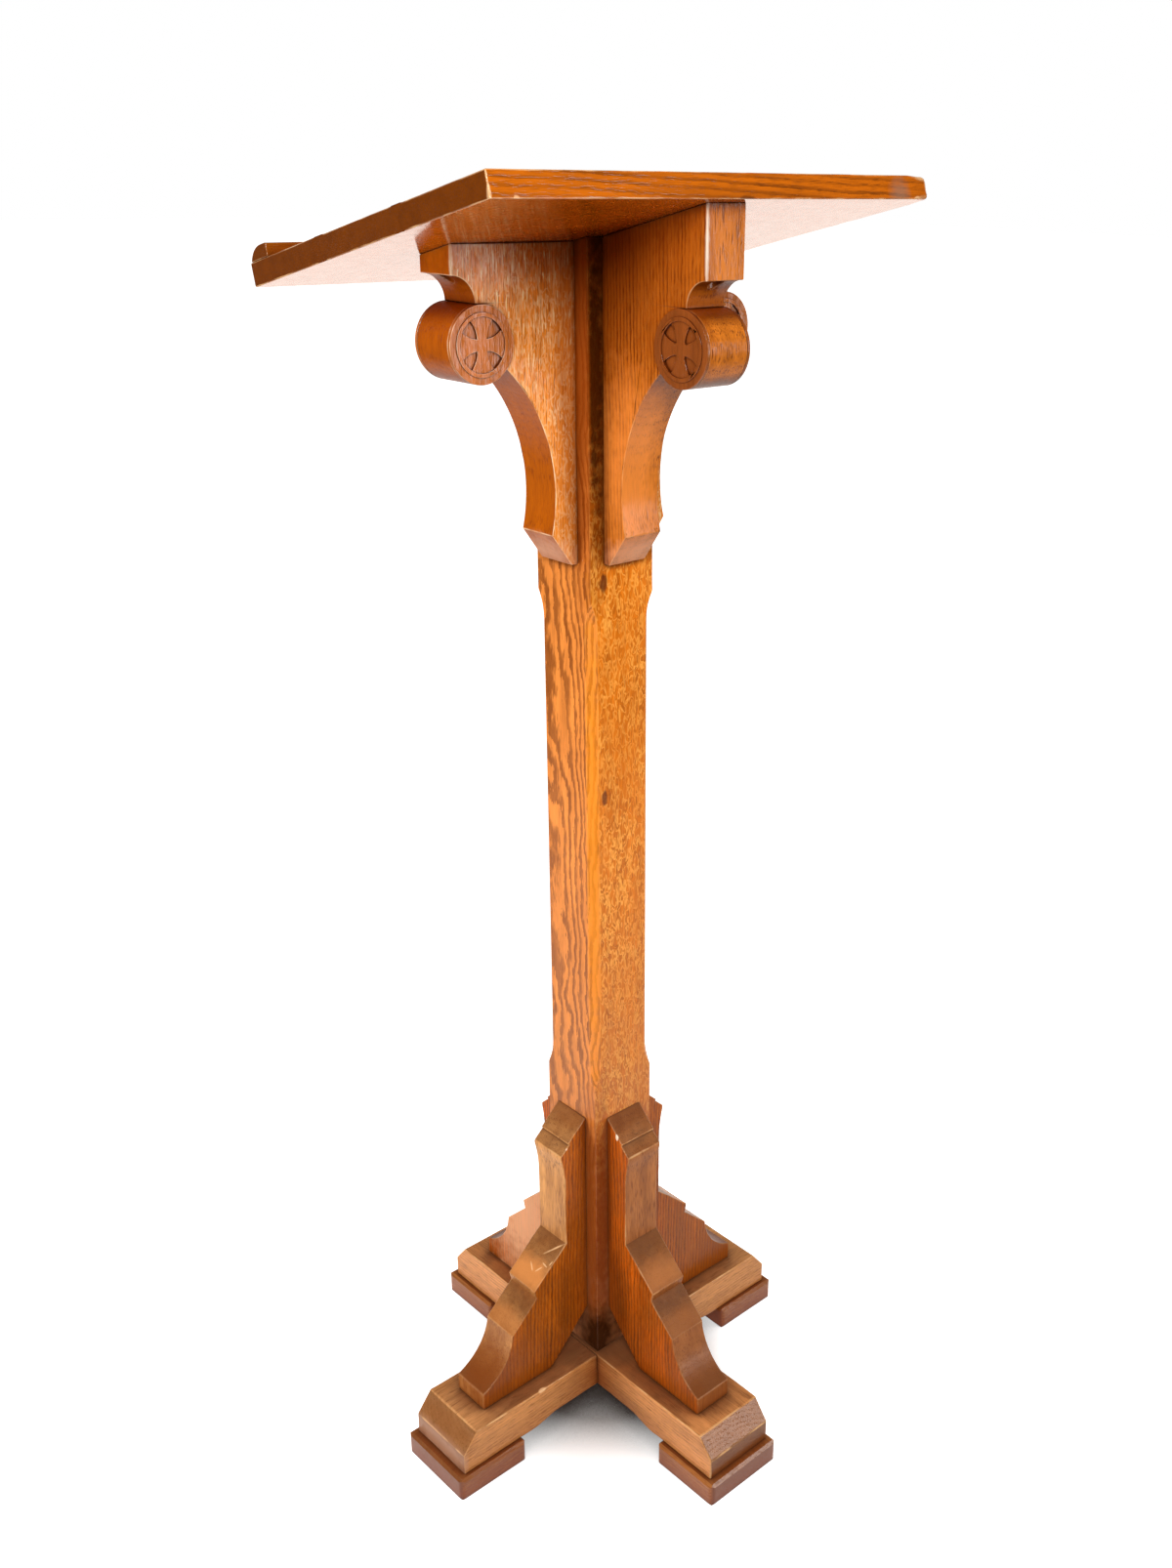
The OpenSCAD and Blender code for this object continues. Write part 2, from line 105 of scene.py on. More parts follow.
# What each wood may set. Ring width, Wander and Tooth are in millimetres, Taper is a slope, Ripple
# counts pore depths, and the others say how strongly a thing shows
FIGURE_INPUTS = {
    "Ring width": 3.0, "Wander": 8.0, "Tooth": 0.8, "Flat lines": 0.7, "Quarter lines": 0.4,
    "Taper": 0.025, "Evenness": 0.4, "Fading": 0.35, "Flecks": 0.5, "Pores": 0.5, "Streaks": 0.15,
    "Drift": 0.35, "Ripple": 0.5,
}
FIGURE_COLOURS = ("Flat-sawn", "Quartered", "Dark", "Fleck", "End grain")

# The size of each pattern, twice across the grain and once along it. Pores are 0.3 mm wide in oak,
# and drawn at 1 mm so that they show at this distance
WANDER_SIZE = (40, 40, 140)
TOOTH_SIZE = (2.2, 2.2, 13)
FADING_SIZE = (14, 14, 70)
PORE_SIZE = (1.1, 1.1, 14)
RAY_SIZE = (4, 4, 11)
RAY_PATCH_SIZE = (30, 30, 60)
DRIFT_SIZE = (13, 13, 120)
RIPPLE_SIZE = (2.4, 2.4, 26)

# A year's ring: spring wood, with its wide pores, starts sharply and stops soon
YEAR = ((0.0, 0.0), (0.03, 1.0), (0.3, 1.0), (0.45, 0.5), (0.55, 0.0))
# Lean and fat years come in spells of about eight
SPELLS_A_YEAR = 0.12
# Where the way round the heart is measured, from the heart
MEASURED_AT = 100.0
PORE_DEPTH = 0.15


def oak_figure():
    """The node group that draws oak in grain space: millimetres, Z along the grain, heart on Z.

    Out come the colour, and the relief that the varnish follows, in pore depths.
    """
    group = bpy.data.node_groups.new("oak_figure", "ShaderNodeTree")
    for name in ("Place", "Normal"):
        group.interface.new_socket(name, in_out="INPUT", socket_type="NodeSocketVector")
    for name, start in FIGURE_INPUTS.items():
        socket = group.interface.new_socket(name, in_out="INPUT", socket_type="NodeSocketFloat")
        socket.default_value = start
    for name in FIGURE_COLOURS:
        group.interface.new_socket(name, in_out="INPUT", socket_type="NodeSocketColor")
    group.interface.new_socket("Colour", in_out="OUTPUT", socket_type="NodeSocketColor")
    group.interface.new_socket("Relief", in_out="OUTPUT", socket_type="NodeSocketFloat")
    given = add(group, "NodeGroupInput").outputs
    place = given["Place"]

    def cloud(where, size, **inputs):
        """Noise whose lumps have a size."""
        scaled = add(group, "ShaderNodeVectorMath", {0: where, 1: size}, operation="DIVIDE")
        return add(group, "ShaderNodeTexNoise", {"Vector": scaled, "Scale": 1.0, **inputs})

    # Distance from the heart, and the way round it
    parts = add(group, "ShaderNodeSeparateXYZ", {0: place}).outputs
    flat = add(group, "ShaderNodeCombineXYZ", {0: parts[0], 1: parts[1]})
    radius = add(group, "ShaderNodeVectorMath", {0: flat}, operation="LENGTH")
    angle = add(group, "ShaderNodeMath", {0: parts[1], 1: parts[0]}, operation="ARCTAN2")
    around = add(group, "ShaderNodeMath", {0: angle, 1: MEASURED_AT}, operation="MULTIPLY")
    polar = add(group, "ShaderNodeCombineXYZ", {0: radius, 1: around, 2: parts[2]})

    # How a face is cut: quartered where it looks round the heart, end grain where it looks along
    outward = add(group, "ShaderNodeVectorMath", {0: flat}, operation="NORMALIZE")
    sidelong = add(group, "ShaderNodeVectorMath", {0: outward, 1: (0.0, 0.0, 1.0)},
                   operation="CROSS_PRODUCT")
    quartered = add(group, "ShaderNodeVectorMath", {0: given["Normal"], 1: sidelong},
                    operation="DOT_PRODUCT")
    quartered = add(group, "ShaderNodeMath", {0: quartered}, operation="ABSOLUTE")
    quartered = add(group, "ShaderNodeMapRange", {0: quartered, 1: 0.55, 2: 0.9})
    end_grain = add(group, "ShaderNodeVectorMath", {0: given["Normal"], 1: (0.0, 0.0, 1.0)},
                    operation="DOT_PRODUCT")
    end_grain = add(group, "ShaderNodeMath", {0: end_grain}, operation="ABSOLUTE")
    end_grain = add(group, "ShaderNodeMapRange", {0: end_grain, 1: 0.6, 2: 0.85})

    # Rings: a slow wander along the trunk, a taper that closes the cathedrals, and ragged teeth
    wander = cloud(polar, WANDER_SIZE, Detail=3.5, Roughness=0.6)
    wander = add(group, "ShaderNodeMath", {0: wander, 1: -0.5}, operation="ADD")
    tooth = cloud(place, TOOTH_SIZE, Detail=2.0, Roughness=0.7)
    tooth = add(group, "ShaderNodeMath", {0: tooth, 1: -0.5}, operation="ADD")
    grown = add(group, "ShaderNodeMath", {0: wander, 1: given["Wander"], 2: radius},
                operation="MULTIPLY_ADD")
    taper = add(group, "ShaderNodeMath", {0: parts[2], 1: given["Taper"]}, operation="MULTIPLY")
    grown = add(group, "ShaderNodeMath", {0: grown, 1: taper}, operation="SUBTRACT")
    grown = add(group, "ShaderNodeMath", {0: tooth, 1: given["Tooth"], 2: grown},
                operation="MULTIPLY_ADD")
    years = add(group, "ShaderNodeMath", {0: grown, 1: given["Ring width"]}, operation="DIVIDE")
    season = add(group, "ShaderNodeMath", {0: years}, operation="FRACT")
    spring = add(group, "ShaderNodeValToRGB", {0: season}, YEAR)

    # Each ring's line is fainter in a lean year and a lean spell, in faded patches and on end grain
    year = add(group, "ShaderNodeMath", {0: years}, operation="FLOOR")
    fat_year = add(group, "ShaderNodeTexWhiteNoise", {"W": year}, noise_dimensions="1D")
    fat_year = add(group, "ShaderNodeMapRange", {0: fat_year, 3: 0.6})
    spell = add(group, "ShaderNodeMath", {0: years, 1: SPELLS_A_YEAR}, operation="MULTIPLY")
    spell = add(group, "ShaderNodeTexNoise", {"W": spell, "Scale": 1.0}, noise_dimensions="1D")
    spell = add(group, "ShaderNodeMapRange", {0: spell, 1: 0.38, 2: 0.6, 3: given["Evenness"]})
    cut = add(group, "ShaderNodeMix",
              {0: quartered, 2: given["Flat lines"], 3: given["Quarter lines"]})
    faded = cloud(polar, FADING_SIZE, Detail=3.0)
    faded = add(group, "ShaderNodeMapRange", {0: faded, 1: 0.36, 2: 0.6, 3: given["Fading"]})
    across = add(group, "ShaderNodeMapRange", {0: end_grain, 3: 1.0, 4: 0.6})
    faded = add(group, "ShaderNodeMath", {0: faded, 1: across}, operation="MULTIPLY")
    line = spring
    for share in (fat_year, spell, cut, faded):
        line = add(group, "ShaderNodeMath", {0: line, 1: share}, operation="MULTIPLY")

    # Pores crowd in the spring wood; pale streaks lie between them on a quartered face
    grain = cloud(place, PORE_SIZE, Detail=1.0)
    pore = add(group, "ShaderNodeMapRange", {0: grain, 1: 0.5, 2: 0.68})
    crowd = add(group, "ShaderNodeMapRange", {0: spring, 3: 0.5})
    for share in (crowd, given["Pores"]):
        pore = add(group, "ShaderNodeMath", {0: pore, 1: share}, operation="MULTIPLY")
    streak = add(group, "ShaderNodeMapRange", {0: grain, 1: 0.368, 2: 0.338})
    for share in (quartered, given["Streaks"]):
        streak = add(group, "ShaderNodeMath", {0: streak, 1: share}, operation="MULTIPLY")

    # Ray flecks: curled pale ribbons on a quartered face, 1.3 mm wide, each with a dark side
    curl = cloud(polar, RAY_SIZE, Detail=1.0, Roughness=0.5, Distortion=0.9)
    patch = cloud(polar, RAY_PATCH_SIZE, Detail=2.0)
    strength = add(group, "ShaderNodeMapRange", {0: patch, 1: 0.36, 2: 0.6, 3: 0.5})
    for share in (quartered, given["Flecks"]):
        strength = add(group, "ShaderNodeMath", {0: strength, 1: share}, operation="MULTIPLY")
    ribbons = []
    for level, reach in ((0.5, 0.09), (0.62, 0.07)):
        off = add(group, "ShaderNodeMath", {0: curl, 1: level}, operation="SUBTRACT")
        off = add(group, "ShaderNodeMath", {0: off}, operation="ABSOLUTE")
        ribbon = add(group, "ShaderNodeMapRange", {0: off, 1: reach, 2: 0.0})
        ribbons.append(add(group, "ShaderNodeMath", {0: ribbon, 1: strength}, operation="MULTIPLY"))
    fleck, dark_side = ribbons

    # The colours, each laid over the ones before it
    drift = cloud(place, DRIFT_SIZE, Detail=5.0, Roughness=0.65)
    drift = add(group, "ShaderNodeMapRange", {0: drift, 1: 0.36, 2: 0.66})
    drift = add(group, "ShaderNodeMath", {0: drift, 1: given["Drift"]}, operation="MULTIPLY")
    dark_side = add(group, "ShaderNodeMath", {0: dark_side, 1: 0.4}, operation="MULTIPLY")
    pale = add(group, "ShaderNodeMath", {0: fleck, 1: streak}, operation="MAXIMUM")
    end_grain = add(group, "ShaderNodeMath", {0: end_grain, 1: 0.8}, operation="MULTIPLY")
    colour = given["Flat-sawn"]
    for amount, over in ((quartered, "Quartered"), (drift, "Dark"), (line, "Dark"), (dark_side, "Dark"),
                         (pore, "Dark"), (pale, "Fleck"), (end_grain, "End grain")):
        colour = add(group, "ShaderNodeMix", {0: amount, 6: colour, 7: given[over]}, data_type="RGBA")

    # The varnish sinks into the pores and lies in long low ripples over the grain
    sunk = add(group, "ShaderNodeMath", {0: line, 1: 0.3, 2: pore}, operation="MULTIPLY_ADD")
    relief = add(group, "ShaderNodeMath", {0: 1.0, 1: sunk}, operation="SUBTRACT")
    relief = add(group, "ShaderNodeMath", {0: fleck, 1: 0.3, 2: relief}, operation="MULTIPLY_ADD")
    ripple = cloud(place, RIPPLE_SIZE, Detail=2.0)
    relief = add(group, "ShaderNodeMath", {0: ripple, 1: given["Ripple"], 2: relief},
                 operation="MULTIPLY_ADD")
    add(group, "NodeGroupOutput", {"Colour": colour, "Relief": relief})
    return group


FIGURE = oak_figure()


# What time leaves on the wood, and painted shade in its corners and crevices

# The corner and crevice colours are painted shade; the grime and the dust are dirt
PAINTED_CORNER_SHADE = "#7a2c00"
GRIME = "#5a3a24"
PAINTED_CREVICE_SHADE = "#2c1204"
DUST = "#8d6a49"
# How far from a wall each of the first three still lies
CORNER_REACH = 70
GRIME_REACH = 45
CREVICE_REACH = 7
# Mops and shoes dull the wood from here down to there, in metres above the floor
MOP_TOP = 0.6
MOP_BOTTOM = 0.15
# A mark ends where its own radius, frayed by noise, passes MARK_EDGE; a broad mark has a softer edge
MARK_EDGE = 1.4
FRAYING = 0.9
BROAD_MARK = 12
BROAD_EDGE = 0.45
SMALL_EDGE = 0.2
# The varnish is rougher here and smoother there by this much
ROUGH_SPREAD = 0.07


def oak(name, turn, heart, flat, quartered, dark, end=None, fleck="#f0a850", bare="#e3ae74", dust=0.0,
        foot=0.55, mop="#7c400e", grime=0.0, crevice_shade=0.75, varnish=0.6, gloss=0.15, rough=0.45,
        sheen=0.02, glitter=None, bands=(), marks=(), **figure):
    """Planed oak under old clear varnish.

    The eye gets the figure through a thin gloss that blurs what it mirrors, painted shade in its
    corners and crevices, and pale bare wood where the arrises are rubbed, with a painted glint there
    on some woods. turn and heart say how the piece lay in its tree, and figure may set any of
    FIGURE_INPUTS. Each mark is (spot, size, stain, amount) and may end with a turn; bands are marks
    that only show on what looks up.
    """
    material = bpy.data.materials.new(name)
    material.use_nodes = True
    tree = material.node_tree
    tree.nodes.clear()
    seen = add(tree, "ShaderNodeTexCoord").outputs
    height = add(tree, "ShaderNodeSeparateXYZ", {0: seen["Object"]}).outputs["Z"]
    place = add(tree, "ShaderNodeMapping", {"Vector": seen["Object"], "Location": [-h for h in heart],
                                            "Rotation": turn, "Scale": TO_MM})
    facing = add(tree, "ShaderNodeMapping", {"Vector": seen["Normal"], "Rotation": turn},
                 vector_type="VECTOR")
    cut = {"Place": place, "Normal": facing, "Flat-sawn": linear(flat), "Quartered": linear(quartered),
           "Dark": linear(dark), "Fleck": linear(fleck), "End grain": linear(end or dark)}
    for socket, start in FIGURE_INPUTS.items():
        cut[socket] = figure.get(socket.lower().replace(" ", "_"), start)
    if glitter:
        # These pale streaks are painted, and stand for the pores' glints high up under the board
        low, high, few, many = glitter
        cut["Streaks"] = add(tree, "ShaderNodeMapRange", {0: height, 1: low, 2: high, 3: few, 4: many})
    wood = add(tree, "ShaderNodeGroup", cut, node_tree=FIGURE)

    def patches(size, detail, low, high, least=0.0, most=1.0):
        """Patches of a size, with least of something between them and most inside them."""
        spread = add(tree, "ShaderNodeMapping",
                     {"Vector": seen["Object"], "Scale": [m / size for m in TO_MM]})
        lumps = add(tree, "ShaderNodeTexNoise", {"Vector": spread, "Scale": 1.0, "Detail": detail})
        return add(tree, "ShaderNodeMapRange", {0: lumps, 1: low, 2: high, 3: least, 4: most})

    def nooks(reach, samples, deep, shallow, most):
        """Most of something deep in a nook whose walls stand within a reach, and none outside."""
        shelter = add(tree, "ShaderNodeAmbientOcclusion", {"Distance": reach * MM}, samples=samples)
        return add(tree, "ShaderNodeMapRange",
                   {0: shelter.outputs["AO"], 1: deep, 2: shallow, 3: most, 4: 0.0})

    # Wear lightens the arrises a little everywhere, and in places to bare wood; on the brackets across
    # and their roundels the pale arris colour is a painted glint
    arris = add(tree, "ShaderNodeAttribute", attribute_name="arris").outputs["Fac"]
    worn = add(tree, "ShaderNodeMath", {0: arris, 1: patches(26, 3.0, 0.46, 0.62, 0.15, 0.85)},
               operation="MULTIPLY")

    # Painted shade darkens each inner corner and the crevices, and grime lines the bottom of a corner
    corner = nooks(CORNER_REACH, 8, 0.45, 0.92, 0.8)
    upward = add(tree, "ShaderNodeSeparateXYZ", {0: seen["Normal"]}).outputs["Z"]
    upward = add(tree, "ShaderNodeMapRange", {0: upward, 1: 0.2, 2: 0.6})
    lodged = add(tree, "ShaderNodeMath", {0: upward, 1: nooks(GRIME_REACH, 16, 0.78, 0.95, grime)},
                 operation="MULTIPLY")
    lodged = add(tree, "ShaderNodeMath", {0: lodged, 1: patches(18, 4.0, 0.3, 0.6, 0.45)},
                 operation="MULTIPLY")
    # Painted shade in crevices whose walls stand within a few millimetres
    crevice_shade_mask = nooks(CREVICE_REACH, 8, 0.3, 0.97, crevice_shade)

    # The foot is dulled by mops and shoes, and dust lies on what looks up
    mopped = add(tree, "ShaderNodeMapRange", {0: height, 1: MOP_TOP, 2: MOP_BOTTOM, 4: foot})
    mopped = add(tree, "ShaderNodeMath", {0: mopped, 1: patches(35, 4.0, 0.3, 0.6, 0.5)},
                 operation="MULTIPLY")
    dusty = upward
    for share in (patches(22, 4.0, 0.35, 0.65, 0.4), dust):
        dusty = add(tree, "ShaderNodeMath", {0: dusty, 1: share}, operation="MULTIPLY")

    layers = [(worn, bare), (corner, PAINTED_CORNER_SHADE), (lodged, GRIME), (crevice_shade_mask, PAINTED_CREVICE_SHADE),
              (mopped, mop), (dusty, DUST)]

    # Bands of old polish on what looks up, and single marks: knots, stains, scratches and bruises
    frayed = patches(9, 4.0, 0.0, 1.0) if bands or marks else None
    for number, (spot, size, stain, amount, *turned) in enumerate(bands + marks):
        edge = BROAD_EDGE if max(size) > BROAD_MARK else SMALL_EDGE
        away = add(tree, "ShaderNodeMapping",
                   {"Vector": seen["Object"], "Location": [-s for s in spot], "Scale": TO_MM})
        away = add(tree, "ShaderNodeMapping",
                   {"Vector": away, "Rotation": turned[0] if turned else UPRIGHT}, vector_type="VECTOR")
        away = add(tree, "ShaderNodeVectorMath", {0: away, 1: size}, operation="DIVIDE")
        away = add(tree, "ShaderNodeVectorMath", {0: away}, operation="LENGTH")
        away = add(tree, "ShaderNodeMath", {0: frayed, 1: FRAYING, 2: away}, operation="MULTIPLY_ADD")
        inside = add(tree, "ShaderNodeMapRange",
                     {0: away, 1: MARK_EDGE + edge, 2: MARK_EDGE - edge, 4: amount})
        if number < len(bands):
            inside = add(tree, "ShaderNodeMath", {0: inside, 1: upward}, operation="MULTIPLY")
        layers.append((inside, stain))

    colour = wood.outputs["Colour"]
    for amount, stain in layers:
        colour = add(tree, "ShaderNodeMix", {0: amount, 6: colour, 7: linear(stain)}, data_type="RGBA")
    bump = add(tree, "ShaderNodeBump", {"Height": wood.outputs["Relief"], "Strength": 1.0,
                                        "Distance": PORE_DEPTH * MM})
    roughness = patches(9, 3.0, 0.3, 0.7, rough - ROUGH_SPREAD, rough + ROUGH_SPREAD)
    surface = add(tree, "ShaderNodeBsdfPrincipled",
                  {"Base Color": colour, "Roughness": roughness, "Normal": bump,
                   "Specular IOR Level": sheen, "Coat Weight": varnish, "Coat Roughness": gloss,
                   "Coat Normal": bump})
    add(tree, "ShaderNodeOutputMaterial", {"Surface": surface})
    return material


# Dressing a piece: its own solid with rubbed arrises

# Steeper than this between two faces, an edge is an arris
SHARP = math.radians(20)
# Faces that meet flatter than this are one
FLAT = math.radians(0.8)
# Points closer than this are one
WELD = 0.01
# How often the rubbing may change along an arris, and the most it takes off
WEAR_STEP = 7.0
WIDEST = 9.0
# Only an edge that leaves at more than this sine bounds an arris, which may take this share of it
BESIDE = 0.4
ROOM_SHARE = 0.45


def rub_width(place, arris, seed):
    """How far an arris is rubbed back here, in millimetres."""
    spot = place / MM
    slow = noise.noise(spot / 60 + Vector((seed, 0, 0)))
    quick = noise.noise(spot / 11 + Vector((0, seed, 0)))
    return arris * max(0.25, 1 + 0.55 * slow + 0.5 * quick)


def room_beside(edge):
    """How far an arris can be rubbed back before it meets the next one, in millimetres."""
    room = WIDEST
    along = (edge.verts[1].co - edge.verts[0].co).normalized()
    for corner in edge.verts:
        for other in corner.link_edges:
            away = (other.other_vert(corner).co - corner.co) / MM
            if other != edge and away.cross(along).length > BESIDE * away.length:
                room = min(room, ROOM_SHARE * away.cross(along).length)
    return room


def dress(node, material, under=None, arris=1.1, seed=0, keep=None, chips=()):
    """Replaces a CAD node by its own solid with rounded, worn arrises.

    under is the finish of what looks down, keep(place) is false where an arris stays sharp, as in a
    glued joint, and chips are (place, reach, depth). With arris 0 all of them stay as they are.
    """
    mesh = NODES[node].data.copy()
    mesh.name = node + "_oak"
    shape = bmesh.new()
    shape.from_mesh(mesh)
    shape.edges.layers.float.new("bevel_weight_edge")
    shape.edges.layers.float.new("room")
    weight = shape.edges.layers.float["bevel_weight_edge"]
    room = shape.edges.layers.float["room"]
    bmesh.ops.remove_doubles(shape, verts=shape.verts, dist=WELD * MM)
    bmesh.ops.dissolve_limit(shape, angle_limit=FLAT, verts=shape.verts, edges=shape.edges)
    for face in shape.faces:
        face.smooth = True
        face.material_index = 0
    for edge in shape.edges:
        edge.smooth = not edge.is_manifold or edge.calc_face_angle() < SHARP
    sharp = [e for e in shape.edges if e.is_manifold and e.calc_face_angle_signed() > SHARP]
    for edge in sharp:
        edge[room] = room_beside(edge)
    pieces = []
    for edge in sharp:
        pieces.append(edge)
        count = max(1, round(edge.calc_length() / (WEAR_STEP * MM)))
        start = edge.verts[0]
        for left in range(count, 1, -1):
            new, start = bmesh.utils.edge_split(edge, start, 1 / left)
            pieces.append(new)
    for edge in pieces:
        middle = (edge.verts[0].co + edge.verts[1].co) / 2
        if arris == 0 or keep and not keep(middle):
            continue
        width = rub_width(middle, arris, seed)
        for place, reach, depth in chips:
            near = 1 - (middle / MM - Vector(place)).length / reach
            width = max(width, depth * max(0.0, near) ** 0.5)
        edge[weight] = min(WIDEST, width, edge[room]) / WIDEST
        edge.smooth = True
    shape.to_mesh(mesh)
    shape.free()
    for name in ("custom_normal", "sharp_face", "room"):
        if name in mesh.attributes:
            mesh.attributes.remove(mesh.attributes[name])
    # The second slot takes the bevel's faces, until mark_arrises has found them
    mesh.materials.clear()
    mesh.materials.append(material)
    mesh.materials.append(material)
    piece = bpy.data.objects.new(node + "_oak", mesh)
    bpy.context.scene.collection.objects.link(piece)
    bevel = piece.modifiers.new("rubbed", "BEVEL")
    bevel.limit_method = "WEIGHT"
    bevel.width = WIDEST * MM
    bevel.segments = 3
    bevel.use_clamp_overlap = False
    bevel.harden_normals = True
    bevel.material = 1
    finish_mesh(piece)
    mark_arrises(piece.data)
    if under:
        varnish_below(piece.data, under)
    carry(piece, node)


def finish_mesh(piece):
    """Turns a piece's modifiers into plain mesh."""
    evaluated = piece.evaluated_get(bpy.context.evaluated_depsgraph_get())
    plain = bpy.data.meshes.new_from_object(evaluated)
    piece.modifiers.clear()
    piece.data = plain


def mark_arrises(mesh):
    """Writes 1 on the points in the middle of each rubbed arris, for the material to bare."""
    flat_points = set()
    for polygon in mesh.polygons:
        if polygon.material_index == 0:
            flat_points.update(polygon.vertices)
        polygon.material_index = 0
    values = [0.0 if i in flat_points else 1.0 for i in range(len(mesh.vertices))]
    mesh.attributes.new("arris", "FLOAT", "POINT").data.foreach_set("value", values)
    mesh.materials.pop(index=1)


def varnish_below(mesh, material):
    """Gives the faces that look down a finish of their own."""
    mesh.materials.append(material)
    for polygon in mesh.polygons:
        if polygon.normal.z < -0.7:
            polygon.material_index = 1


def carry(piece, node):
    """Lets a piece stand for a CAD node and on its body."""
    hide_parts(node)
    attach(piece, BODY)


# The lectern's woods, each with the marks that the photo shows on it

BARE = "#efbd88"
WHITE_BRUISE = "#ffe9cc"


def scratch(start, end, width, stain, amount):
    """A mark drawn out thin between two places."""
    start, end = Vector(start), Vector(end)
    turned = (end - start).rotation_difference(Vector((0, 0, 1))).to_euler()
    return (start + end) / 2, (width, width, (end - start).length / 2), stain, amount, turned


POST_MARKS = (
    # Two knots in the rear face
    ((22, 38, 945), (4.5, 3, 9), "#5a2206", 0.85),
    ((22.5, 38, 733), (3.5, 3, 8), "#5a2206", 0.8),
    # Painted shade in the corners beside the brackets, beside the buttresses and over the feet
    ((30, 39, 1135), (15, 3, 170), "#280900", 0.93),
    ((39, 30, 1110), (3, 15, 170), "#9a4506", 0.6),
    ((39, 30, 230), (3, 15, 160), "#a04a04", 0.75),
    ((30, 39, 230), (15, 3, 160), "#7c3204", 0.8),
    ((39, 39, 85), (30, 30, 40), "#260e02", 0.88),
    # Painted light keeps the chamfer between them bright
    ((34, 34, 671), (6, 6, 250), "#ff9418", 0.6),
)
# The post is flat-sawn across, with bold flames, and quartered fore and aft, with the lace of its rays
post_oak = oak(
    "varnished_oak_post", UPRIGHT, (-160, -40, 40), "#fb9642", "#e67a12", "#5e2200", fleck="#ffb04c",
    bare="#f4a048", mop="#a8704c", foot=0.68, varnish=0.35, ring_width=2.2, taper=-0.016, wander=12.0,
    tooth=1.9, flat_lines=1.0, quarter_lines=0.05, flecks=0.85, pores=0.4, evenness=0.75, fading=0.8,
    marks=POST_MARKS)

BRACKET_MARKS = (
    # Painted light brightens the right land's end; pale lines on both lands' arrises are painted glints
    # of the lamps
    ((167, 0, 1235), (4, 40, 40), "#e87804", 0.55),
    ((165.4, 21.5, 1220), (2.4, 2.4, 18), "#ffecc8", 0.8),
    ((21.5, 165.4, 1238), (2.4, 2.4, 34), "#fff2dc", 0.9),
    # The heels are paler
    ((64, 0, 969), (26, 34, 17), "#f4b48a", 0.5),
    ((0, 64, 969), (34, 26, 17), "#f4b084", 0.6),
    # Painted shade darkens the rear bracket's cheek, and the right one's face beside the post
    ((21.5, 90, 1200), (12, 90, 80), "#8a3c06", 0.5),
    ((46, 21.5, 1130), (13, 4, 150), "#96440c", 0.35),
    # Painted light brightens the rear sweep, which has a chip at its foot
    ((10, 70, 1050), (24, 44, 80), "#f08c3c", 0.6),
    ((21.5, 75, 1003), (2, 3, 12), BARE, 0.6),
)
# Quartered boards on end, straight-lined and open-pored; those across have painted glints as pale
# streaks high up
bracket_x_oak = oak(
    "varnished_oak_bracket_across", UPRIGHT, (330, 8, 700), "#b65a09", "#fa9636", "#7c3208",
    fleck="#ffe6ac", bare="#ffdcae", varnish=0.3, gloss=0.06, ring_width=3.0, flat_lines=0.1,
    quarter_lines=0.3, pores=0.6, ripple=2.8, glitter=(1.06, 1.2, 0.0, 1.0), marks=BRACKET_MARKS)
bracket_y_oak = oak(
    "varnished_oak_bracket_fore_aft", UPRIGHT, (6, 340, 300), "#cc7220", "#d07018", "#461400",
    varnish=0.4, ring_width=4.2, wander=9.0, tooth=1.8, flat_lines=0.08, quarter_lines=1.0,
    evenness=1.0, fading=0.25, flecks=0.1, pores=0.8, marks=BRACKET_MARKS)

# How far a band reaches along a buttress's face, to either side of its middle
BAND_REACH = 36


def banded(axis, bands):
    """Marks across the weatherings of two opposite buttresses: (out, up, reach, stain, amount)."""
    marks = []
    for out, up, reach, stain, amount in bands:
        for side in (1, -1):
            spot = (side * out, 0, up) if axis == "x" else (0, side * out, up)
            size = (reach, BAND_REACH, reach) if axis == "x" else (BAND_REACH, reach, reach)
            marks.append((spot, size, stain, amount))
    return tuple(marks)


BUTTRESS_MARKS = (
    # A painted reflection pales one cheek low down; the caps are bruised white
    ((22.5, -115, 190), (3, 62, 110), "#f2b080", 0.7),
    ((65, 23, 345), (2, 2, 2.5), WHITE_BRUISE, 0.9),
    ((23, 69, 342), (2, 2, 2.5), WHITE_BRUISE, 0.9),
    ((23, 54, 357), (2, 2, 6), WHITE_BRUISE, 0.8),
    # Scratches over the right buttress's middle weathering
    scratch((84, 4, 211), (69, 20, 224), 1.0, BARE, 0.8),
    scratch((94, -5, 201), (100, 5, 196), 0.8, BARE, 0.7),
    scratch((99, 7, 197), (93, 12, 202), 0.8, BARE, 0.7),
    scratch((89.5, 10, 205), (90.5, 18, 204), 0.8, BARE, 0.7),
    scratch((89, 19, 206), (84, 20, 210), 0.8, BARE, 0.7),
)
# Each weathering is darker at its top and paler at its nose, and the toes are darker
BANDS_X = banded("x", (
    (44, 366, 12, "#7a3c12", 0.4), (73, 221, 15, "#6a3a1a", 0.3), (104, 193, 18, "#dc8c4a", 0.75),
    (114, 171, 15, "#6a3a1a", 0.5), (136, 150, 14, "#c87c40", 0.5)))
BANDS_Y = banded("y", (
    (44, 366, 12, "#6a3410", 0.4), (73, 221, 15, "#5c3418", 0.4), (104, 193, 18, "#c47a42", 0.5),
    (114, 171, 15, "#56301a", 0.5), (136, 150, 14, "#a05c2a", 0.4)))
TOES_X = banded("x", ((168, 108, 38, "#7e3e14", 0.8),))
TOES_Y = banded("y", ((168, 108, 38, "#7a4220", 0.5),))
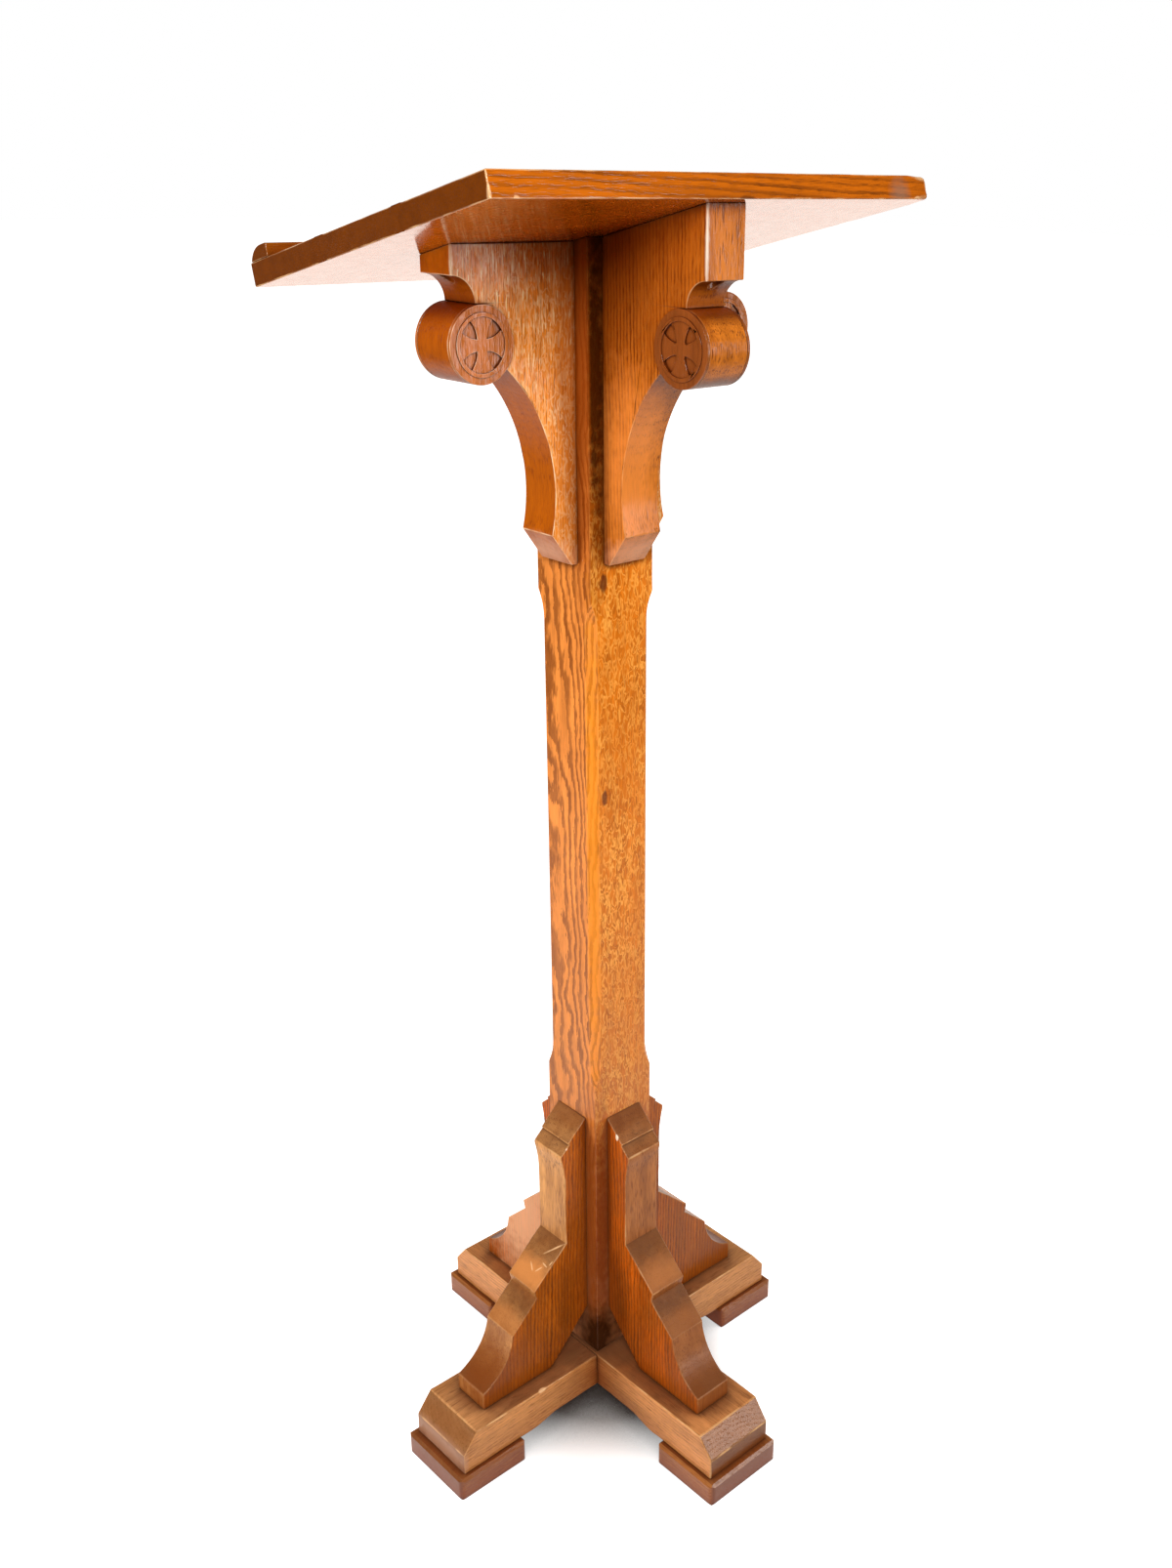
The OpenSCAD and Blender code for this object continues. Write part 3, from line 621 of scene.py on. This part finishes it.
# The buttresses are quartered too, and their varnish is dulled by mops and dust
BUTTRESS_WOOD = {
    "ring_width": 4.6, "wander": 15.0, "tooth": 2.4, "flat_lines": 0.1, "quarter_lines": 1.0,
    "evenness": 0.8, "fading": 0.5, "pores": 0.7, "flecks": 0.1, "drift": 0.5, "dust": 0.25,
    "grime": 0.85}
buttress_x_oak = oak(
    "varnished_oak_buttress_across", UPRIGHT, (260, 5, 100), "#f8b066", "#d26808", "#4c1a02",
    varnish=0.38, gloss=0.3, bands=BANDS_X, marks=TOES_X + BUTTRESS_MARKS, **BUTTRESS_WOOD)
buttress_y_oak = oak(
    "varnished_oak_buttress_fore_aft", UPRIGHT, (5, 250, 220), "#c87e44", "#ec6a0a", "#481802",
    varnish=0.34, gloss=0.34, bands=BANDS_Y, marks=TOES_Y + BUTTRESS_MARKS, **BUTTRESS_WOOD)

BEAM_MARKS = (
    # A chip in the arris of the beam across, and a painted reflection greys its right end
    ((119, 42, 72), (5, 3, 3), BARE, 0.9),
    ((223, 0, 38), (5, 60, 16), "#b8876a", 0.6),
    # The splayed ends are darker, and dust lies where the beams cross
    ((216, 0, 62), (13, 60, 13), "#8a4c1c", 0.4),
    ((0, 216, 62), (60, 13, 13), "#8a4c1c", 0.4),
    ((0, 0, 72), (58, 58, 5), "#6e5038", 0.35),
)
# The feet are worn to a soft sheen, and their end grain has drunk the stain
BEAM_WOOD = {
    "end": "#44200a", "foot": 0.0, "dust": 0.1, "grime": 0.5, "varnish": 0.42, "ring_width": 4.0,
    "tooth": 1.4, "flat_lines": 0.4, "quarter_lines": 0.3, "pores": 0.5, "flecks": 0.2,
    "marks": BEAM_MARKS}
beam_x_oak = oak(
    "varnished_oak_beam_across", ACROSS, (-140, 30, 0), "#e09c60", "#d89050", "#5c2e10", **BEAM_WOOD)
beam_y_oak = oak(
    "varnished_oak_beam_fore_aft", FORE_AFT, (30, 140, 500), "#e69858", "#e69858", "#5c2e10",
    **BEAM_WOOD)

# The pads are plain brown oak that has stood on damp floors
PAD_WOOD = {
    "bare": "#9f653e", "foot": 0.0, "dust": 0.1, "ring_width": 4.0, "flat_lines": 0.3,
    "quarter_lines": 0.3, "flecks": 0.1}
pad_x_oak = oak(
    "varnished_oak_pad_across", ACROSS, (-90, 60, 900), "#97582b", "#97582b", "#57301a", **PAD_WOOD)
pad_y_oak = oak(
    "varnished_oak_pad_fore_aft", FORE_AFT, (60, 90, 700), "#a76532", "#a76532", "#57301a", **PAD_WOOD)

BOARD_MARKS = (
    # A grey stain and a knot on the high edge, and chips along its lower arris
    ((-200, 176.5, 1279), (12, 7, 15), "#8a6a55", 0.6),
    ((-10, 177, 1276), (9, 3, 3), "#5a2a08", 0.7),
    ((-84, 177, 1275.5), (4, 3, 1.5), BARE, 0.7),
    ((-224, 177, 1277), (6, 3, 2), BARE, 0.7),
    ((239.5, 176, 1280), (1.5, 3, 7), BARE, 0.6),
    ((232, 177, 1275.5), (5, 3, 1.5), BARE, 0.8),
    ((217, 176.5, 1277), (3, 3, 2), BARE, 0.6),
)
plank_hearts = {
    "plank_low": (-1150, -95, 0), "plank_middle": (-1330, 20, 800), "plank_high": (-1140, 118, 400)}
# On the edges of the quartered planks the rings are fine close lines
plank_oaks = {
    plank: oak(
        "varnished_oak_" + plank, ON_BOARD, heart, "#c46206", "#c86608", "#4e2204", gloss=0.12,
        ring_width=1.1, wander=1.4, tooth=0.4, taper=0.008, flat_lines=0.6, quarter_lines=0.55,
        evenness=0.6, fading=0.5, flecks=0.1, pores=0.5, streaks=0.4, ripple=0.2, marks=BOARD_MARKS)
    for plank, heart in plank_hearts.items()
}
# Below, the varnish is thick and glassy, and mirrors the white room over deep orange
under_oaks = {
    plank: oak(
        "varnished_oak_under_" + plank, ON_BOARD, heart, "#f47408", "#f47408", "#7e3a04", varnish=1.0,
        gloss=0.06, rough=0.25, sheen=0.15, ring_width=2.6, flat_lines=0.4, quarter_lines=0.4,
        flecks=0.0, pores=0.05, ripple=0.0)
    for plank, heart in plank_hearts.items()
}
ledge_oak = oak(
    "varnished_oak_ledge", ON_BOARD, (-1190, -150, 90), "#9d520b", "#8f4707", "#5e2a04",
    ring_width=2.4, flat_lines=0.4, quarter_lines=0.4, flecks=0.2)

# The roundels were turned and carved, and shine where they stand proud; painted shade fills their
# carving
ROUNDEL_WOOD = {
    "crevice_shade": 1.0, "varnish": 0.5, "flat_lines": 0.03, "quarter_lines": 0.03, "flecks": 0.1,
    "pores": 0.25, "ripple": 5.0}
roundel_x_oak = oak(
    "varnished_oak_roundel_across", UPRIGHT, (330, 300, 500), "#c26c2a", "#c26c2a", "#4c1e08",
    # The pale arris colour on these rims is a painted glint
    bare="#ffe6c4", gloss=0.08, **ROUNDEL_WOOD)
roundel_y_oak = oak(
    "varnished_oak_roundel_fore_aft", UPRIGHT, (330, 300, 500), "#8e4a1c", "#8e4a1c", "#3c1604",
    bare="#9c5424", gloss=0.12, **ROUNDEL_WOOD)

# Unfinished beech is pale and even beside the oak
dowel_beech = oak(
    "turned_beech_dowel", UPRIGHT, (200, 0, 0), "#d9b58a", "#cfa577", "#a97f55", flat_lines=0.1,
    flecks=0.0)


# The pieces in their woods

# The sides of the post, and whether the pieces on them run across
SIDES = {"right": True, "left": True, "rear": False, "front": False}
# The glued joints between the planks, along the slope from the middle of the board
BOARD_MIDDLE = 1233.6
GLUED_AT = (-44, 69)
GLUED_WITHIN = 4
# One corner of the high edge is knocked round: its place, reach and depth
KNOCKED = (((-240, 175, 1290), 22, 7),)


def joint_edge(place):
    """False in the glued joints between the planks."""
    along = place.y / MM * math.cos(SLOPE) + (place.z / MM - BOARD_MIDDLE) * math.sin(SLOPE)
    return min(abs(along - joint) for joint in GLUED_AT) > GLUED_WITHIN


dress("post", post_oak, arris=0.6, seed=1)
for side, across in SIDES.items():
    node = "bracket_" + side
    dress(node, bracket_x_oak if across else bracket_y_oak, arris=0.9, seed=len(node))
for side, across in SIDES.items():
    node = "buttress_" + side
    dress(node, buttress_x_oak if across else buttress_y_oak, arris=1.3, seed=len(node) + 20)
dress("foot_beam_across", beam_x_oak, arris=1.4, seed=31)
dress("foot_beam_fore_aft", beam_y_oak, arris=1.4, seed=32)
for number, (side, across) in enumerate(SIDES.items()):
    dress("foot_pad_" + side, pad_x_oak if across else pad_y_oak, arris=0, seed=40 + number)
for number, plank in enumerate(plank_hearts):
    dress(plank, plank_oaks[plank], under=under_oaks[plank], arris=1.1, seed=50 + number,
          keep=joint_edge, chips=KNOCKED)
dress("book_ledge", ledge_oak, arris=0.7, seed=60)

for number, node in enumerate(n for n in NODES if n.startswith("roundel")):
    across = node.startswith(("roundel_right", "roundel_left"))
    dress(node, roundel_x_oak if across else roundel_y_oak, arris=0.6, seed=70 + number)

for node, part in NODES.items():
    if "dowel" in node or "tongue" in node:
        part.data.materials.clear()
        part.data.materials.append(dowel_beech)


# Slotted wood screws

def screw_steel():
    """Dull steel, a little rusted: the eye reads a grey glint in the slot and nothing like the wood."""
    material = bpy.data.materials.new("screw_steel")
    material.use_nodes = True
    tree = material.node_tree
    tree.nodes.clear()
    spread = add(tree, "ShaderNodeTexCoord").outputs["Object"]
    rust = add(tree, "ShaderNodeTexNoise", {"Vector": spread, "Scale": 400.0, "Detail": 3.0})
    rust = add(tree, "ShaderNodeMapRange", {0: rust, 1: 0.5, 2: 0.7})
    colour = add(tree, "ShaderNodeMix", {0: rust, 6: linear("#8a857c"), 7: linear("#5a3a24")},
                 data_type="RGBA")
    surface = add(tree, "ShaderNodeBsdfPrincipled",
                  {"Base Color": colour, "Metallic": 1.0, "Roughness": 0.42})
    add(tree, "ShaderNodeOutputMaterial", {"Surface": surface})
    return material


SCREW_SIZES = {"Head radius": 4.8, "Head height": 3.0, "Shank radius": 2.3, "Thread pitch": 2.0,
               "Thread depth": 0.6, "Slot width": 1.2, "Slot depth": 1.3, "Length": 40.0}
# From the head up to this share of the length a screw has no thread
PLAIN_SHARE = 0.4
# How round and how finely cut a screw is
SCREW_SIDES = 20
SCREW_RINGS = 90
# The corners of a head's face lie within this of the screw's lowest point
HEAD_FACE = 0.1


def screw_tree():
    """Sets a slotted wood screw, head down, on every point; lengths come in metres."""
    tree = bpy.data.node_groups.new("slotted_screws", "GeometryNodeTree")
    sockets = {"Geometry": "Geometry", **dict.fromkeys(SCREW_SIZES, "Float"), "Seed": "Int",
               "Material": "Material"}
    for name, kind in sockets.items():
        tree.interface.new_socket(name, in_out="INPUT", socket_type="NodeSocket" + kind)
    tree.interface.new_socket("Geometry", in_out="OUTPUT", socket_type="NodeSocketGeometry")
    given = add(tree, "NodeGroupInput").outputs

    # A plain cylinder of radius 1 and height 1, and where each of its points lies on the screw
    blank = add(tree, "GeometryNodeMeshCylinder", {
        "Vertices": SCREW_SIDES, "Side Segments": SCREW_RINGS, "Radius": 1.0, "Depth": 1.0})
    place = add(tree, "ShaderNodeSeparateXYZ", {0: add(tree, "GeometryNodeInputPosition")}).outputs
    height = add(tree, "ShaderNodeMath", {0: place[2], 1: 0.5}, operation="ADD")
    height = add(tree, "ShaderNodeMath", {0: height, 1: given["Length"]}, operation="MULTIPLY")

    # The screw's radius at each height: head, shank, thread, and the tip over two shank radii
    radius = add(tree, "ShaderNodeMapRange", {0: height, 1: 0.0, 2: given["Head height"],
                                              3: given["Head radius"], 4: given["Shank radius"]})
    turn = add(tree, "ShaderNodeMath", {0: place[1], 1: place[0]}, operation="ARCTAN2")
    turn = add(tree, "ShaderNodeMath", {0: turn, 1: 2 * math.pi}, operation="DIVIDE")
    thread = add(tree, "ShaderNodeMath", {0: height, 1: given["Thread pitch"]}, operation="DIVIDE")
    thread = add(tree, "ShaderNodeMath", {0: thread, 1: turn}, operation="SUBTRACT")
    thread = add(tree, "ShaderNodeMath", {0: thread}, operation="FRACT")
    thread = add(tree, "ShaderNodeMath", {0: thread, 1: 0.5}, operation="SUBTRACT")
    thread = add(tree, "ShaderNodeMath", {0: thread}, operation="ABSOLUTE")
    thread = add(tree, "ShaderNodeMath", {0: thread, 1: 2.0}, operation="MULTIPLY")
    plain = add(tree, "ShaderNodeMath", {0: given["Length"], 1: PLAIN_SHARE}, operation="MULTIPLY")
    cut = add(tree, "ShaderNodeMath", {0: height, 1: plain}, operation="GREATER_THAN")
    cut = add(tree, "ShaderNodeMath", {0: cut, 1: given["Thread depth"]}, operation="MULTIPLY")
    cut = add(tree, "ShaderNodeMath", {0: thread, 1: cut}, operation="MULTIPLY")
    radius = add(tree, "ShaderNodeMath", {0: radius, 1: cut}, operation="SUBTRACT")
    tip = add(tree, "ShaderNodeMath", {0: given["Shank radius"], 1: 2.0}, operation="MULTIPLY")
    tip = add(tree, "ShaderNodeMath", {0: given["Length"], 1: tip}, operation="SUBTRACT")
    pointed = add(tree, "ShaderNodeMapRange", {0: height, 1: tip, 2: given["Length"], 3: 1.0, 4: 0.05})
    radius = add(tree, "ShaderNodeMath", {0: radius, 1: pointed}, operation="MULTIPLY")
    drawn = {2: height}
    for axis in (0, 1):
        drawn[axis] = add(tree, "ShaderNodeMath", {0: place[axis], 1: radius}, operation="MULTIPLY")
    screw = add(tree, "GeometryNodeSetPosition", {"Geometry": blank.outputs["Mesh"],
                                                  "Position": add(tree, "ShaderNodeCombineXYZ", drawn)})

    # The slot is cut across the head, and each screw stops at a turn of its own
    slot_length = add(tree, "ShaderNodeMath", {0: given["Head radius"], 1: 3.0}, operation="MULTIPLY")
    slot_height = add(tree, "ShaderNodeMath", {0: given["Slot depth"], 1: 2.0}, operation="MULTIPLY")
    slot = add(tree, "ShaderNodeCombineXYZ", {0: slot_length, 1: given["Slot width"], 2: slot_height})
    slot = add(tree, "GeometryNodeMeshCube", {"Size": slot})
    screw = add(tree, "GeometryNodeMeshBoolean",
                {"Mesh 1": screw, "Mesh 2": slot.outputs["Mesh"]}, operation="DIFFERENCE")
    angle = add(tree, "FunctionNodeRandomValue", {2: 0.0, 3: math.pi, 8: given["Seed"]},
                data_type="FLOAT")
    turned = add(tree, "ShaderNodeCombineXYZ", {2: angle.outputs[1]})
    placed = add(tree, "GeometryNodeInstanceOnPoints",
                 {"Points": given["Geometry"], "Instance": screw.outputs["Mesh"], "Rotation": turned})
    real = add(tree, "GeometryNodeRealizeInstances", {0: placed})
    steel = add(tree, "GeometryNodeSetMaterial", {"Geometry": real, "Material": given["Material"]})
    add(tree, "NodeGroupOutput", {"Geometry": steel})
    return tree


def screw_places(node):
    """The middle of each screw's head, and the screws' length, as the CAD has them."""
    shape = bmesh.new()
    shape.from_mesh(NODES[node].data)
    bmesh.ops.remove_doubles(shape, verts=shape.verts, dist=WELD * MM)
    # In the CAD's own order, so that each screw gets the same turn in every run
    found = set()
    places = []
    for first in shape.verts:
        if first in found:
            continue
        solid = [first]
        found.add(first)
        for corner in solid:
            beside = [edge.other_vert(corner) for edge in corner.link_edges]
            solid.extend(other for other in beside if other not in found)
            found.update(beside)
        low = min(corner.co.z for corner in solid)
        high = max(corner.co.z for corner in solid)
        head = [corner.co for corner in solid if corner.co.z < low + HEAD_FACE * MM]
        places.append(sum(head, Vector()) / len(head))
        length = high - low
    shape.free()
    return places, length


def drive_screws(node, tree, material, seed):
    """Replaces a CAD node of screws by slotted steel ones in the same places."""
    places, length = screw_places(node)
    points = bpy.data.meshes.new(node + "_steel")
    points.from_pydata(places, [], [])
    piece = bpy.data.objects.new(node + "_steel", points)
    bpy.context.scene.collection.objects.link(piece)
    modifier = piece.modifiers.new("screws", "NODES")
    modifier.node_group = tree
    values = {name: size * MM for name, size in SCREW_SIZES.items()}
    values.update({"Length": length, "Seed": seed, "Material": material})
    for socket in tree.interface.items_tree:
        if socket.in_out == "INPUT" and socket.name in values:
            modifier[socket.identifier] = values[socket.name]
    finish_mesh(piece)
    carry(piece, node)


steel = screw_steel()
screws = screw_tree()
for number, node in enumerate(n for n in NODES if n.endswith("_screws")):
    drive_screws(node, screws, steel, 90 + number)


# Studio: a white floor, a white room and three soft lamps, in metres

# From the camera to behind the lectern, and across that
BACK = (-0.7071, -0.7071, 0.0)
ASIDE = (0.7071, -0.7071, 0.0)
PLAIN_WHITE = "#ffffff"
# From the post outwards the paper gives up its shade and glows white
PAPER_GLOW = ((0.08, 0.0), (0.13, 0.4), (0.18, 0.85), (0.23, 1.0))


def seen_white(tree, sweep):
    """How white a ray finds the studio: all white for the eye, and the paper sweep alone in gloss."""
    rays = add(tree, "ShaderNodeLightPath").outputs
    gloss = add(tree, "ShaderNodeMath", {0: rays["Is Glossy Ray"], 1: sweep}, operation="MULTIPLY")
    seen = add(tree, "ShaderNodeMath", {0: rays["Is Camera Ray"], 1: gloss}, operation="MAXIMUM")
    return add(tree, "ShaderNodeMath", {0: seen, 1: rays["Is Transmission Ray"]}, operation="MAXIMUM")


def white_paper():
    """Matt white paper: it keeps the shadow under the feet, deepened there by painted shadow, and runs
    out to plain white around them.
    """
    material = bpy.data.materials.new("white_paper")
    material.use_nodes = True
    tree = material.node_tree
    tree.nodes.clear()
    place = add(tree, "ShaderNodeTexCoord").outputs["Object"]
    # The sweep is 2.6 m wide and starts in front of the camera; past it the room is dim
    front = add(tree, "ShaderNodeVectorMath", {0: place, 1: BACK}, operation="DOT_PRODUCT")
    front = add(tree, "ShaderNodeMapRange", {0: front, 1: -1.7, 2: -0.9})
    side = add(tree, "ShaderNodeVectorMath", {0: place, 1: ASIDE}, operation="DOT_PRODUCT")
    side = add(tree, "ShaderNodeMath", {0: side}, operation="ABSOLUTE")
    side = add(tree, "ShaderNodeMapRange", {0: side, 1: 2.3, 2: 1.3})
    sweep = add(tree, "ShaderNodeMath", {0: front, 1: side}, operation="MULTIPLY")
    seen = seen_white(tree, sweep)
    out = add(tree, "ShaderNodeVectorMath", {0: place}, operation="LENGTH")
    lift = add(tree, "ShaderNodeValToRGB", {0: out}, PAPER_GLOW)
    lift = add(tree, "ShaderNodeMath", {0: lift, 1: seen}, operation="MULTIPLY")
    # Painted shadow: the paper darkens where walls stand near it, under and beside the feet
    under = add(tree, "ShaderNodeAmbientOcclusion", {"Distance": 0.12}, samples=8).outputs["AO"]
    under = add(tree, "ShaderNodeMapRange", {0: under, 1: 0.2, 2: 0.75})
    tone = add(tree, "ShaderNodeMix", {0: under, 6: linear("#3a2f28"), 7: linear("#fdfbf8")},
               data_type="RGBA")
    tone = add(tree, "ShaderNodeMix", {0: seen, 6: linear("#8f8b86"), 7: tone}, data_type="RGBA")
    gloss = add(tree, "ShaderNodeLightPath").outputs["Is Glossy Ray"]
    warm = add(tree, "ShaderNodeMix", {0: gloss, 6: linear(PLAIN_WHITE), 7: linear("#ffe9dc")},
               data_type="RGBA")
    paper = add(tree, "ShaderNodeBsdfPrincipled",
                {"Base Color": tone, "Roughness": 0.9, "Specular IOR Level": 0.1,
                 "Emission Color": warm, "Emission Strength": lift})
    add(tree, "ShaderNodeOutputMaterial", {"Surface": paper})
    return material


def room():
    """White for the eye; in gloss, the sweep rises white behind the lectern and the rest is dim."""
    world = bpy.data.worlds.new("room")
    world.use_nodes = True
    bpy.context.scene.world = world
    tree = world.node_tree
    tree.nodes.clear()
    way = add(tree, "ShaderNodeTexCoord").outputs["Generated"]
    behind = add(tree, "ShaderNodeVectorMath", {0: way, 1: BACK}, operation="DOT_PRODUCT")
    behind = add(tree, "ShaderNodeMapRange", {0: behind, 1: 0.2, 2: 0.7})
    low = add(tree, "ShaderNodeVectorMath", {0: way, 1: (0, 0, 1)}, operation="DOT_PRODUCT")
    low = add(tree, "ShaderNodeMapRange", {0: low, 1: 0.65, 2: 0.3})
    sweep = add(tree, "ShaderNodeMath", {0: behind, 1: low}, operation="MULTIPLY")
    rays = add(tree, "ShaderNodeLightPath").outputs
    dim = add(tree, "ShaderNodeMapRange", {0: rays["Is Diffuse Ray"], 3: 0.06, 4: 0.3})
    level = add(tree, "ShaderNodeMath", {0: seen_white(tree, sweep), 1: dim}, operation="MAXIMUM")
    # The dim part of the room is brown with its own woodwork
    brown = add(tree, "ShaderNodeMath", {0: 1.0, 1: sweep}, operation="SUBTRACT")
    brown = add(tree, "ShaderNodeMath", {0: rays["Is Glossy Ray"], 1: brown}, operation="MULTIPLY")
    tint = add(tree, "ShaderNodeMix", {0: brown, 6: linear(PLAIN_WHITE), 7: linear("#d08a58")},
               data_type="RGBA")
    light = add(tree, "ShaderNodeBackground", {"Color": tint, "Strength": level})
    add(tree, "ShaderNodeOutputWorld", {"Surface": light})


LAMPS = (
    # name, place, watts, size across and up, and whether the varnish mirrors it
    ("lamp_low", (2.3, -1.2, 0.45), 38, (0.9, 0.9), False),
    ("window", (-1.6, 2.6, 1.25), 31, (0.9, 1.2), True),
    ("lamp_front", (1.5, 1.8, 2.3), 70, (0.9, 0.9), True),
)
# What the lamps face, and how far the floor runs each way
LIT = Vector((0, 0, 0.75))
FLOOR_REACH = 30.0


def studio():
    """The floor, the room and the lamps."""
    corners = [(x * FLOOR_REACH, y * FLOOR_REACH, 0) for x, y in ((-1, -1), (1, -1), (1, 1), (-1, 1))]
    mesh = bpy.data.meshes.new("floor")
    mesh.from_pydata(corners, [], [(0, 1, 2, 3)])
    mesh.materials.append(white_paper())
    floor = bpy.data.objects.new("floor", mesh)
    bpy.context.scene.collection.objects.link(floor)
    room()
    for name, place, power, (across, up), mirrored in LAMPS:
        lamp = bpy.data.lights.new(name, "AREA")
        lamp.shape = "RECTANGLE"
        lamp.energy = power
        lamp.size = across
        lamp.size_y = up
        holder = bpy.data.objects.new(name, lamp)
        bpy.context.scene.collection.objects.link(holder)
        holder.location = place
        holder.visible_glossy = mirrored
        holder.rotation_euler = (LIT - Vector(place)).to_track_quat("-Z", "Y").to_euler()


# The camera's place in metres, its turns in radians, its focal length and middle in the
# photograph's pixels, and the photograph's height and middle
STAND = Vector((0.921626, 1.090555, 1.303292))
YAW, PITCH, ROLL = 3.92517, -0.38089, 0.02336
FOCAL, MIDDLE_X = 1591.72, 737.858
PHOTO_HEIGHT, PHOTO_MIDDLE = 1606, 600
SENSOR = 36


def photographer():
    """The camera, fitted to the corners of the board, post and feet in the photograph."""
    ahead = Vector((math.cos(PITCH) * math.cos(YAW), math.cos(PITCH) * math.sin(YAW), math.sin(PITCH)))
    level = ahead.cross(Vector((0, 0, 1))).normalized()
    above = level.cross(ahead)
    right = math.cos(ROLL) * level + math.sin(ROLL) * above
    up = -math.sin(ROLL) * level + math.cos(ROLL) * above
    lens = bpy.data.cameras.new("photographer")
    lens.sensor_width = SENSOR
    lens.lens = lens.sensor_width * FOCAL / PHOTO_HEIGHT
    lens.shift_x = -(MIDDLE_X - PHOTO_MIDDLE) / PHOTO_HEIGHT
    camera = bpy.data.objects.new("photographer", lens)
    bpy.context.scene.collection.objects.link(camera)
    camera.matrix_world = Matrix.Translation(STAND) @ Matrix((right, up, -ahead)).transposed().to_4x4()
    bpy.context.scene.camera = camera


studio()
photographer()
bpy.context.scene.view_settings.view_transform = "Standard"
